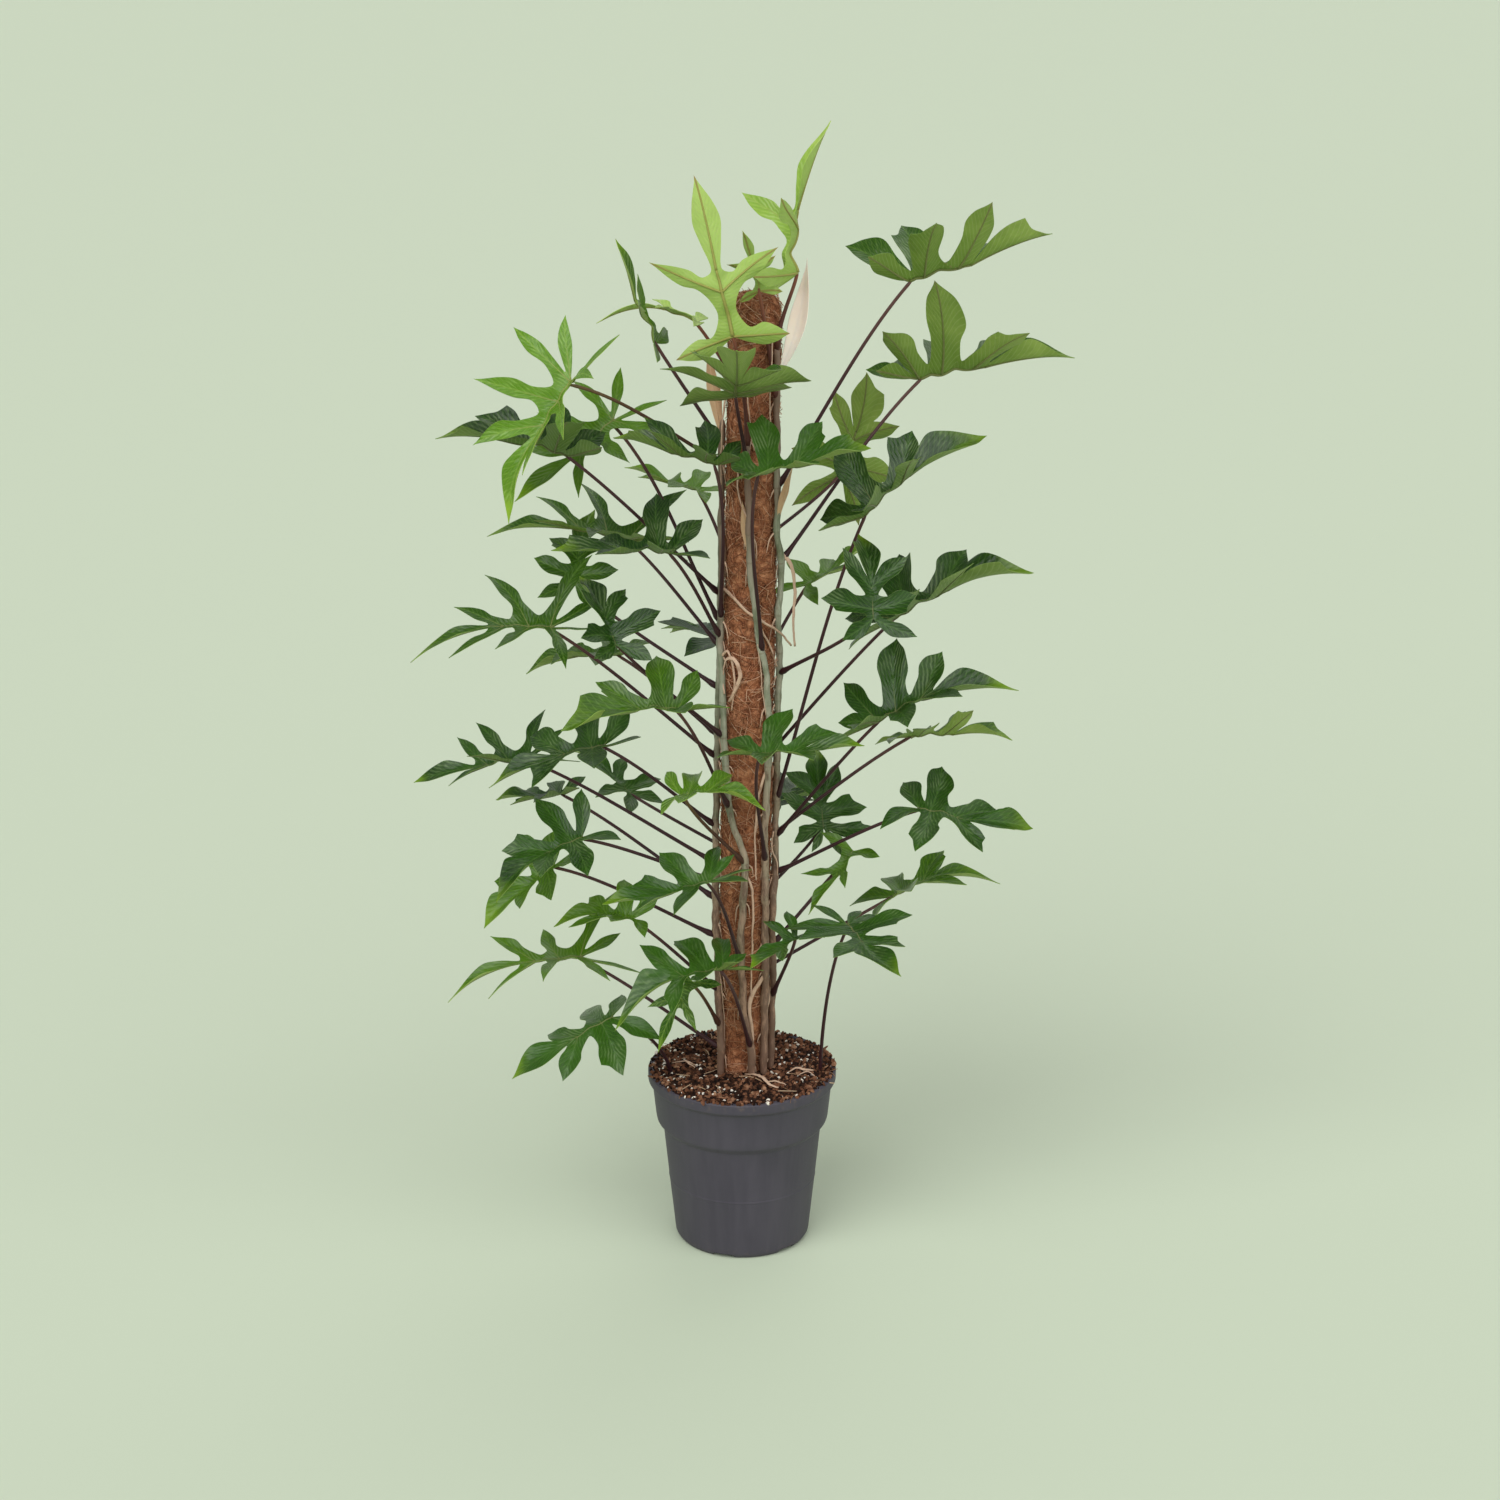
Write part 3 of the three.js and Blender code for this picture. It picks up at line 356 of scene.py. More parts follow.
class Draft:
    """One piece's points and faces, gathered part by part in millimetres."""

    def __init__(self) -> None:
        """Starts an empty piece."""
        self.points: list[np.ndarray] = []
        self.faces: list[tuple[int, ...]] = []
        self.marks: dict[str, list[np.ndarray]] = {}
        self.uv: list[np.ndarray] = []
        self.sharp: list[tuple[int, int]] = []
        self.count = 0

    def add(
        self,
        points: np.ndarray,
        faces: Iterable[Sequence[int]],
        marks: dict[str, np.ndarray] | None = None,
        uv: np.ndarray | None = None,
        sharp: Iterable[tuple[int, int]] = (),
    ) -> None:
        """Adds a part.

        Args:
            points: Its points, one row each.
            faces: Its faces, as indices of its own points.
            marks: Attributes of its points, three numbers each.
            uv: A pair of numbers for each corner of its faces.
            sharp: Pairs of its points whose edge stays crisp.
        """
        first = self.count
        listed = [tuple(first + i for i in face) for face in faces]
        self.points.append(points)
        self.faces += listed
        for name, values in (marks or {}).items():
            self.marks.setdefault(name, []).append(np.broadcast_to(values, (len(points), 3)))
        corners = sum(len(face) for face in listed)
        self.uv.append(np.zeros((corners, 2)) if uv is None else uv)
        self.sharp += [(first + a, first + b) for a, b in sharp]
        self.count += len(points)

    def finish(self, name: str, material: Material | None = None) -> Object:
        """Makes the piece's object, at the origin with its place in its mesh.

        Args:
            name: The object's name.
            material: What it is made of, if it stays.

        Returns:
            The object, linked to the scene.
        """
        mesh = bpy.data.meshes.new(name)
        mesh.from_pydata((np.vstack(self.points) * MM).tolist(), [], self.faces)
        for mark, values in self.marks.items():
            attribute = mesh.attributes.new(mark, "FLOAT_VECTOR", "POINT")
            attribute.data.foreach_set("vector", np.vstack(values).astype(np.float32).ravel())
        corners = mesh.uv_layers.new(name=LOBE_MAP).uv
        corners.foreach_set("vector", np.vstack(self.uv).astype(np.float32).ravel())
        mesh.shade_smooth()
        if self.sharp:
            crisp = {tuple(sorted(pair)) for pair in self.sharp}
            flags = [tuple(sorted(edge.vertices)) in crisp for edge in mesh.edges]
            mesh.attributes.new("sharp_edge", "BOOLEAN", "EDGE").data.foreach_set("value", flags)
        if material is not None:
            mesh.materials.append(material)
        mesh.update()
        return placed(name, mesh)


def seat(piece: Object, slot: str, *nodes: str) -> None:
    """Puts a finished piece on the frame and reports it.

    Args:
        piece: The piece, in place.
        slot: The record's material slot for the piece; not used.
        nodes: The frame's nodes that it stands for.
    """
    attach(piece, BODY)
    if nodes:
        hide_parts(*nodes)
    LOG.info("%s: %d faces", piece.name, len(piece.data.polygons))


def rod(line: np.ndarray, radii: np.ndarray, sides: int, flatness: float = 1.0) -> Solid:
    """A closed bar along a line.

    Args:
        line: The points of its middle line.
        radii: Its radius at each of them.
        sides: How many sides its section has.
        flatness: Its thickness as a share of its width; 1 is round.

    Returns:
        Its points and its faces.
    """
    runs = np.gradient(line, axis=0)
    runs /= np.linalg.norm(runs, axis=1)[:, None]
    upright = abs(runs[0][2]) >= 0.9
    aside = np.cross(runs[0], (0.0, 1.0, 0.0) if upright else (0.0, 0.0, 1.0))
    rings = []
    for centre, run, radius in zip(line, runs, radii):
        aside = aside - run * (aside @ run)
        aside /= np.linalg.norm(aside)
        other = np.cross(run, aside)
        turn = np.linspace(0, 2 * math.pi, sides, endpoint=False)[:, None]
        rings.append(centre + radius * (np.cos(turn) * aside * flatness + np.sin(turn) * other))
    faces: list[tuple[int, ...]] = []
    for i in range(len(line) - 1):
        for k in range(sides):
            a, b = i * sides + k, i * sides + (k + 1) % sides
            faces.append((a, b, b + sides, a + sides))
    faces.append(tuple(reversed(range(sides))))
    faces.append(tuple((len(line) - 1) * sides + k for k in range(sides)))
    return np.vstack(rings), faces


def turned(profile: Sequence[Sequence[float]], sides: int) -> Solid:
    """A closed solid turned round +Z.

    Args:
        profile: Radius and height of its outline, from the axis out and back to the axis, outside first.
        sides: How many steps a turn has.

    Returns:
        Its points and its faces.
    """
    points: list[Triple] = []
    rings: list[list[int]] = []
    for radius, height in profile:
        if radius < TINY:
            rings.append([len(points)] * sides)
            points.append((0.0, 0.0, height))
            continue
        rings.append(list(range(len(points), len(points) + sides)))
        for k in range(sides):
            turn = 2 * math.pi * k / sides
            points.append((radius * math.cos(turn), radius * math.sin(turn), height))
    faces = []
    for low, high in zip(rings, rings[1:]):
        for k in range(sides):
            corners = [low[k], low[(k + 1) % sides], high[(k + 1) % sides], high[k]]
            kept = [c for i, c in enumerate(corners) if c != corners[i - 1]]
            if len(kept) > 2:
                faces.append(tuple(kept))
    return np.array(points), faces


def rounded(profile: Sequence[Sequence[float]], radius: float) -> list[Pair]:
    """A profile with a short arc at each corner between its ends.

    Args:
        profile: Radius and height of its points.
        radius: How far from each corner its arc starts, at most a third of the way to the next point.

    Returns:
        The points of the rounded profile.
    """
    given = np.array(profile, float)
    result = [tuple(given[0])]
    for before, corner, after in zip(given, given[1:], given[2:]):
        back, ahead = before - corner, after - corner
        reach = min(radius, np.linalg.norm(back) / 3, np.linalg.norm(ahead) / 3)
        start = corner + back / np.linalg.norm(back) * reach
        end = corner + ahead / np.linalg.norm(ahead) * reach
        for t in (0.0, 0.33, 0.67, 1.0):
            result.append(tuple((1 - t) ** 2 * start + 2 * (1 - t) * t * corner + t ** 2 * end))
    result.append(tuple(given[-1]))
    return result


class Signal:
    """A number that varies over a surface, for use in Python sums."""

    def __init__(self, board: "Board", socket: NodeSocket) -> None:
        """Wraps a socket that carries a number."""
        self.board = board
        self.socket = socket

    def _math(self, operation: str, *values: Any) -> "Signal":
        """A Math node on some values."""
        made = self.board.node("ShaderNodeMath", {"operation": operation}, dict(enumerate(values)))
        return Signal(self.board, made.outputs[0])

    def __add__(self, other: Any) -> "Signal":
        """This number plus another."""
        return self._math("ADD", self, other)

    __radd__ = __add__

    def __sub__(self, other: Any) -> "Signal":
        """This number less another."""
        return self._math("SUBTRACT", self, other)

    def __rsub__(self, other: Any) -> "Signal":
        """Another number less this one."""
        return self._math("SUBTRACT", other, self)

    def __mul__(self, other: Any) -> "Signal":
        """This number times another."""
        return self._math("MULTIPLY", self, other)

    __rmul__ = __mul__

    def __truediv__(self, other: Any) -> "Signal":
        """This number divided by another."""
        return self._math("DIVIDE", self, other)

    def __pow__(self, other: Any) -> "Signal":
        """This number raised to a power."""
        return self._math("POWER", self, other)

    def __abs__(self) -> "Signal":
        """This number without its sign."""
        return self._math("ABSOLUTE", self)

    def fraction(self) -> "Signal":
        """What is left of this number above a whole one."""
        return self._math("FRACT", self)

    def zigzag(self, period: float) -> "Signal":
        """1 at each whole period and 0 halfway between, rising and falling evenly."""
        return abs((self / period).fraction() - 0.5) * 2

    def most(self, other: Any) -> "Signal":
        """The larger of this number and another."""
        return self._math("MAXIMUM", self, other)

    def eased(self, low: float, high: float) -> "Signal":
        """0 below low, 1 above high, and a smooth rise between; falls where low is above high."""
        made = self.board.node(
            "ShaderNodeMapRange",
            {"interpolation_type": "SMOOTHSTEP"},
            {"Value": self, "From Min": low, "From Max": high},
        )
        return Signal(self.board, made.outputs[0])


class Web:
    """A node tree, written one node at a time."""

    def __init__(self, tree: NodeTree) -> None:
        """Wraps a tree."""
        self.tree = tree

    def node(
        self, kind: str, settings: dict[str, Any] | None = None, inputs: dict[Any, Any] | None = None
    ) -> Node:
        """Adds a node.

        Args:
            kind: The node's type.
            settings: Its own settings, set first. stops are a ramp's positions and colours.
            inputs: Values or links of its sockets, by name or number.

        Returns:
            The node.
        """
        made = self.tree.nodes.new(kind)
        for key, value in (settings or {}).items():
            if key == "stops":
                self._set_stops(made.color_ramp, value)
            else:
                setattr(made, key, value)
        for key, value in (inputs or {}).items():
            source = value.socket if isinstance(value, Signal) else value
            if isinstance(source, NodeSocket):
                self.tree.links.new(source, made.inputs[key])
            else:
                made.inputs[key].default_value = source
        return made

    @staticmethod
    def _set_stops(ramp: ColorRamp, stops: Sequence[tuple[float, Colour]]) -> None:
        """Sets a ramp's stops."""
        while len(ramp.elements) < len(stops):
            ramp.elements.new(0.5)
        for element, (position, colour) in zip(ramp.elements, stops):
            element.position = position
            element.color = (*colour, 1.0)


class Board(Web):
    """A material under construction. A Mix node's colours are sockets 6 and 7, and its result is 2."""

    MIX_FIRST = 6
    MIX_SECOND = 7
    MIX_RESULT = 2

    def __init__(self, name: str) -> None:
        """Starts a material with an empty tree."""
        self.material = bpy.data.materials.new(name)
        self.material.use_nodes = True
        super().__init__(self.material.node_tree)
        self.tree.nodes.clear()
        self.place = self.node("ShaderNodeTexCoord").outputs["Object"]

    def stretched(self, x: float, y: float, z: float) -> NodeSocket:
        """Object coordinates times a factor along each axis."""
        return self.node("ShaderNodeMapping", None, {"Vector": self.place, "Scale": (x, y, z)}).outputs[0]

    def noise(self, scale: float, detail: float = 3, where: Any = None, roughness: float = 0.55) -> Signal:
        """Noise from 0 to 1.

        Args:
            scale: Its features to the metre.
            detail: How many finer layers it has.
            where: The coordinates it reads, the object's own if none are given.
            roughness: How strong the finer layers are.

        Returns:
            The noise.
        """
        inputs = {"Vector": where or self.place, "Scale": scale, "Detail": detail, "Roughness": roughness}
        return Signal(self, self.node("ShaderNodeTexNoise", None, inputs).outputs[0])

    def parts(self, vector: NodeSocket) -> tuple[Signal, Signal, Signal]:
        """The three numbers of a vector."""
        split = self.node("ShaderNodeSeparateXYZ", None, {0: vector})
        return Signal(self, split.outputs[0]), Signal(self, split.outputs[1]), Signal(self, split.outputs[2])

    def lobe_map(self) -> tuple[Signal, Signal]:
        """How far a place on a blade lies along its rib and off it, in millimetres."""
        along, across, _ = self.parts(self.node("ShaderNodeUVMap", {"uv_map": LOBE_MAP}).outputs[0])
        return along * LOBE_UNIT, across * LOBE_UNIT

    def mark(self, name: str) -> tuple[Signal, Signal, Signal]:
        """The three numbers of an attribute of the points."""
        return self.parts(self.node("ShaderNodeAttribute", {"attribute_name": name}).outputs["Vector"])

    def tone(self, name: str) -> Signal:
        """An attribute of one number."""
        return Signal(self, self.node("ShaderNodeAttribute", {"attribute_name": name}).outputs["Fac"])

    def mixed(self, share: Any, first: Any, second: Any) -> NodeSocket:
        """A colour between two.

        Args:
            share: How much of the second colour there is.
            first: A colour or a socket.
            second: A colour or a socket.

        Returns:
            The mixed colour.
        """
        colours = {
            index: (*colour, 1.0) if isinstance(colour, tuple) else colour
            for index, colour in ((self.MIX_FIRST, first), (self.MIX_SECOND, second))
        }
        made = self.node("ShaderNodeMix", {"data_type": "RGBA"}, {0: share, **colours})
        return made.outputs[self.MIX_RESULT]

    def ramp(self, value: Signal, *stops: tuple[float, Colour]) -> NodeSocket:
        """A colour read off a ramp of stops."""
        return self.node("ShaderNodeValToRGB", {"stops": stops}, {0: value}).outputs[0]

    def bump(self, height: Signal, distance: float, strength: float = 1.0) -> NodeSocket:
        """A normal from a height.

        Args:
            height: The height, about 0 to 1.
            distance: What a height of 1 stands for, in metres.
            strength: How much of it shows.

        Returns:
            The normal.
        """
        inputs = {"Height": height, "Distance": distance, "Strength": strength}
        return self.node("ShaderNodeBump", None, inputs).outputs[0]

    def surface(self, **inputs: Any) -> Material:
        """Ends the tree in one surface shader.

        Args:
            inputs: Values or links of the shader's sockets, with _ for a space.

        Returns:
            The finished material.
        """
        sockets = {key.replace("_", " "): value for key, value in inputs.items()}
        shader = self.node("ShaderNodeBsdfPrincipled", None, sockets)
        self.node("ShaderNodeOutputMaterial", None, {"Surface": shader.outputs[0]})
        return self.material


@dataclass(frozen=True)
class LeafSkin:
    """A leaf's glossy upper face, its pale veined underside, its ribs and its stalk."""

    name: str
    upper: Colour
    upper_light: Colour
    vein: Colour
    under: Colour
    under_light: Colour
    rib: Colour
    stalk_low: Colour
    stalk_high: Colour
    gloss: float
    under_vein: Colour = (0.38, 0.46, 0.18)
    # Colour of the painted highlight streaks on the upper face.
    painted_highlight: Colour = (0.2, 0.28, 0.12)
    tip: Colour = (0.2, 0.34, 0.012)
    vein_show: float = 0.26
    vein_gap: float = 6.0
    vein_slant: float = 1.5
    vein_arch: float = 0.015
    streak_gap: float = 11.0
    streak_slant: float = 3.2
    rib_half: Pair = (0.3, 1.3)

    def material(self) -> Material:
        """Builds the material. Side veins and streaks follow the lobe map; the streaks carry painted
        highlights.
        """
        board = Board(self.name)
        under, tube, stalk = board.mark("zone")
        tint, reach, tipward = board.mark("growth")
        along, across = board.lobe_map()
        side = abs(across)
        wander = board.noise(60, 2)
        slant = along - side * self.vein_slant + side ** 2 * self.vein_arch + wander * 3.5
        stripe = slant.zigzag(self.vein_gap)
        vein = stripe.eased(0.3, 0.02)
        fine = (along - side * self.streak_slant + wander * 16).zigzag(self.streak_gap)
        rib = side.eased(self.rib_half[1], self.rib_half[0]).most(tube)
        blotch = board.noise(26, 4)
        cells = board.noise(900, 2)
        swell = board.noise(34, 2)
        face = board.mixed((blotch + tint * 0.8 + fine * 0.4 - 0.7).eased(0.0, 1.0), self.upper,
                           self.upper_light)
        lines = (fine.eased(0.35, 0.0) * blotch * 1.6).most(vein)
        face = board.mixed(lines * self.vein_show, face, self.vein)
        # Painted highlight: pale streaks in noise patches of the upper face, off the ribs, stand in for the
        # gloss's reflections.
        highlight_patch = board.noise(24, 4, roughness=0.65).eased(0.47, 0.66)
        face = board.mixed(highlight_patch * fine.eased(0.1, 1.0) * (1 - rib) * 0.5, face, self.painted_highlight)
        face = board.mixed(rib * 0.24, face, self.vein)
        face = board.mixed((tipward + blotch * 0.5).eased(1.0, 1.3) * 0.75, face, self.tip)
        # The underside varies with noise and the leaf's tint, and is darker towards the stalk as painted
        # shade.
        back = board.mixed((blotch * 0.9 + tint * 0.5 + tipward * 0.5 - 0.5).eased(0.0, 1.0), self.under,
                           self.under_light)
        back = board.mixed(vein * 0.28, back, self.under_vein)
        back = board.mixed(rib * 0.75, back, self.rib)
        skin = board.mixed(under, face, back)
        streak = board.noise(240, 3, board.stretched(1, 1, 0.18))
        worn = (reach ** 2.2 + streak * 0.3 - 0.15).eased(0.0, 1.0)
        bark = board.mixed(worn, self.stalk_low, self.stalk_high)
        skin = board.mixed(stalk, skin, bark)
        rough = self.gloss + under * 0.26 + stalk * 0.1 + blotch * 0.14 + cells * 0.05
        relief = stripe.eased(0.0, 0.9) * 0.08 + fine * 0.2 + cells * 0.03 + blotch * 0.8 + swell * 3.2
        return board.surface(
            Base_Color=skin,
            Roughness=rough,
            Normal=board.bump(relief * (1 - stalk), 0.001, 0.8),
            Specular_IOR_Level=0.26,
            Subsurface_Weight=0.12,
            Subsurface_Radius=(0.35, 0.6, 0.12),
            Subsurface_Scale=0.003,
        )


@dataclass(frozen=True)
class StemBark:
    """Grey-green stem skin with tan patches and brown rings at its nodes."""

    green: Colour = (0.15, 0.175, 0.1)
    grey: Colour = (0.42, 0.42, 0.32)
    tan: Colour = (0.38, 0.21, 0.135)
    dust: Colour = (0.13, 0.07, 0.045)
    scar: Colour = (0.16, 0.11, 0.07)
    young: Colour = (0.17, 0.075, 0.05)

    def material(self) -> Material:
        """Builds the material. The ring mark is 1 at a node."""
        board = Board("stem_bark")
        ring, age, _ = board.mark("growth")
        streak = board.noise(420, 4, board.stretched(1, 1, 0.08))
        patch = board.noise(34, 4)
        flakes = board.noise(190, 5, board.stretched(1, 1, 0.3), 0.7)
        skin = board.mixed((patch * 1.1 + streak * 0.6 - 0.4).eased(0.15, 0.75), self.green, self.grey)
        skin = board.mixed((age * 1.1 + patch * 0.7 - 0.35).eased(0.35, 0.95) * 0.9, skin, self.tan)
        skin = board.mixed((1.12 - age + patch * 0.25).eased(1.0, 1.16) * 0.75, skin, self.young)
        skin = board.mixed((flakes + age * 0.45).eased(0.7, 0.9) * 0.8, skin, self.dust)
        skin = board.mixed(ring.eased(0.4, 1.0) * flakes.eased(0.3, 0.6) * 0.55, skin, self.scar)
        height = streak * 0.7 + ring * 0.3 + flakes * 0.8
        return board.surface(
            Base_Color=skin, Roughness=0.5 + streak * 0.25, Normal=board.bump(height, 0.0006, 0.7)
        )


@dataclass(frozen=True)
class RootSkin:
    """Pale tan aerial root, browner in patches."""

    pale: Colour = (0.66, 0.45, 0.32)
    brown: Colour = (0.26, 0.13, 0.075)

    def material(self) -> Material:
        """Builds the material."""
        board = Board("aerial_root")
        patch = board.noise(70, 4)
        skin = board.mixed(patch.eased(0.5, 0.8), self.pale, self.brown)
        return board.surface(
            Base_Color=skin, Roughness=0.6 + patch * 0.2, Normal=board.bump(board.noise(900, 3), 0.0004, 0.6)
        )


@dataclass(frozen=True)
class DrySheath:
    """Papery sheath with fine lengthwise veins, pink-cream when new and tan when old."""

    name: str
    light: Colour
    dark: Colour
    vein_gap: float = 1.1
    fade_length: float = 90.0

    def material(self) -> Material:
        """Builds the material."""
        board = Board(self.name)
        along, across = board.lobe_map()
        fine = across.zigzag(self.vein_gap)
        patch = board.noise(55, 4)
        fade = (along / self.fade_length + patch * 0.7 - 0.45).eased(0.0, 1.0)
        skin = board.mixed(fade * 0.7, self.light, self.dark)
        skin = board.mixed(fine.eased(0.35, 0.0) * 0.35, skin, self.dark)
        return board.surface(
            Base_Color=skin,
            Roughness=0.5 + patch * 0.2,
            Normal=board.bump(fine + patch * 0.6, 0.0003, 0.7),
            Subsurface_Weight=0.2,
            Subsurface_Radius=(0.6, 0.4, 0.25),
            Subsurface_Scale=0.003,
        )


@dataclass(frozen=True)
class CoirMat:
    """Matted coconut fibre: red-brown, with painted shade in the hollows between the strands."""

    # Painted shade: the darkest colour, put in the low places of the mat's relief.
    hollow_shade: Colour = (0.07, 0.022, 0.009)
    body: Colour = (0.32, 0.115, 0.05)
    light: Colour = (0.62, 0.29, 0.15)
    fibre_dark: Colour = (0.1, 0.034, 0.015)
    fibre_light: Colour = (0.5, 0.23, 0.12)
    fibre_pale: Colour = (0.68, 0.43, 0.28)

    def material(self) -> Material:
        """Builds the mat's material."""
        board = Board("coir_mat")
        clumps = board.noise(85, 5, roughness=0.65)
        strands = board.noise(650, 4, board.stretched(1, 1, 0.45), 0.7)
        cross = board.noise(520, 4, board.stretched(0.5, 0.5, 1.3), 0.7)
        depth = clumps * 0.65 + strands * 0.25 + cross * 0.25
        # The colour follows the relief: painted shade in its low places, lighter on the raised strands.
        skin = board.ramp(depth, (0.44, self.hollow_shade), (0.55, self.body), (0.7, self.light))
        return board.surface(
            Base_Color=skin, Roughness=0.92, Normal=board.bump(depth, 0.003, 0.9), Specular_IOR_Level=0.25
        )

    def fibre_material(self) -> Material:
        """Builds the loose fibres' material. Their tone mark sets how light each one is."""
        board = Board("coir_fibre")
        tone = board.tone("tone")
        skin = board.ramp(tone, (0.0, self.fibre_dark), (0.5, self.body), (0.88, self.fibre_light),
                          (1.0, self.fibre_pale))
        return board.surface(Base_Color=skin, Roughness=0.75, Specular_IOR_Level=0.35)


@dataclass(frozen=True)
class PottingMix:
    """Dark peat with crumbs of several browns, perlite and bark."""

    wet: Colour = (0.007, 0.003, 0.002)
    peat: Colour = (0.034, 0.013, 0.007)
    bark: Colour = (0.2, 0.085, 0.045)
    chip: Colour = (0.44, 0.25, 0.15)
    perlite: Colour = (0.9, 0.84, 0.74)
    perlite_dirt: Colour = (0.36, 0.22, 0.14)
    strand_dark: Colour = (0.1, 0.045, 0.02)
    strand: Colour = (0.34, 0.19, 0.1)
    strand_pale: Colour = (0.6, 0.43, 0.28)

    def bed_material(self) -> Material:
        """Builds the bed's material."""
        board = Board("soil_bed")
        clumps = board.noise(160, 5, roughness=0.7)
        grit = board.noise(900, 3)
        skin = board.ramp(clumps * 0.6 + grit * 0.4, (0.35, self.wet), (0.55, self.peat), (0.72, self.bark))
        return board.surface(
            Base_Color=skin, Roughness=0.95, Normal=board.bump(clumps + grit * 0.5, 0.003, 1.0),
            Specular_IOR_Level=0.25,
        )

    def crumb_material(self) -> Material:
        """Builds the crumbs' material. Their tone mark takes each from wet peat to pale bark."""
        board = Board("soil_crumbs")
        tone = board.tone("tone")
        grain = board.noise(700, 3)
        damp = board.noise(75, 2)
        skin = board.ramp(tone * 0.44 + grain * 0.12 + damp * 0.56, (0.4, self.wet), (0.58, self.peat),
                          (0.74, self.bark), (0.88, self.chip))
        return board.surface(Base_Color=skin, Roughness=0.9, Normal=board.bump(grain, 0.0008, 0.8),
                             Specular_IOR_Level=0.15)

    def perlite_material(self) -> Material:
        """Builds the white puffed grains' material."""
        board = Board("perlite")
        dirt = board.noise(420, 3)
        skin = board.mixed(dirt.eased(0.5, 0.8) * 0.7, self.perlite, self.perlite_dirt)
        pores = board.bump(board.noise(1600, 2), 0.0004, 0.8)
        return board.surface(Base_Color=skin, Roughness=0.85, Normal=pores)

    def strand_material(self) -> Material:
        """Builds the material of the fine dry roots and straw on the bed."""
        board = Board("soil_strands")
        tone = board.tone("tone")
        skin = board.ramp(tone, (0.0, self.strand_dark), (0.6, self.strand), (1.0, self.strand_pale))
        return board.surface(Base_Color=skin, Roughness=0.7)


@dataclass(frozen=True)
class PotPlastic:
    """Moulded anthracite plastic, faintly streaked, with soil dust near the lip and scuffs at the foot."""

    base: Colour = (0.0465, 0.041, 0.0585)
    light: Colour = (0.071, 0.063, 0.084)
    dust: Colour = (0.16, 0.12, 0.095)
    dusty_from: Pair = (0.176, 0.197)
    scuffed_to: float = 0.02

    def material(self) -> Material:
        """Builds the material."""
        board = Board("pot_plastic")
        flow = board.noise(90, 4, board.stretched(1, 1, 0.05))
        cloud = board.noise(14, 4)
        grain = board.noise(2600, 2)
        _, _, height = board.parts(board.place)
        skin = board.mixed((flow * 0.6 + cloud * 0.6 - 0.1).eased(0.2, 0.85), self.base, self.light)
        lip = height.eased(*self.dusty_from) * board.noise(150, 5).eased(0.5, 0.78)
        foot = height.eased(self.scuffed_to, 0.0) * board.noise(240, 4).eased(0.5, 0.8)
        skin = board.mixed(lip * 0.55 + foot * 0.3, skin, self.dust)
        rough = 0.46 + cloud * 0.16 + lip * 0.2 + grain * 0.06
        relief = board.bump(grain * 0.35 + flow * 0.9, 0.00035, 0.55)
        return board.surface(Base_Color=skin, Roughness=rough, Normal=relief, Specular_IOR_Level=0.45)


@dataclass(frozen=True)
class StakeWood:
    """Raw softwood stake inside the sleeve."""

    pale: Colour = (0.42, 0.27, 0.13)
    grain: Colour = (0.2, 0.11, 0.05)

    def material(self) -> Material:
        """Builds the material."""
        board = Board("stake_wood")
        rings = board.noise(300, 5, board.stretched(1, 1, 0.04))
        skin = board.mixed(rings.eased(0.4, 0.7), self.pale, self.grain)
        return board.surface(Base_Color=skin, Roughness=0.75, Normal=board.bump(rings, 0.0008, 0.6))


@dataclass(frozen=True)
class StudioPaper:
    """Plain pale floor."""

    tone: Colour = (0.616, 0.7, 0.538)
    cloud: Colour = (0.59, 0.68, 0.51)

    def material(self) -> Material:
        """Builds the material."""
        board = Board("studio_floor")
        skin = board.mixed(board.noise(1.5, 3) * 0.08, self.tone, self.cloud)
        return board.surface(Base_Color=skin, Roughness=0.9, Specular_IOR_Level=0.1)


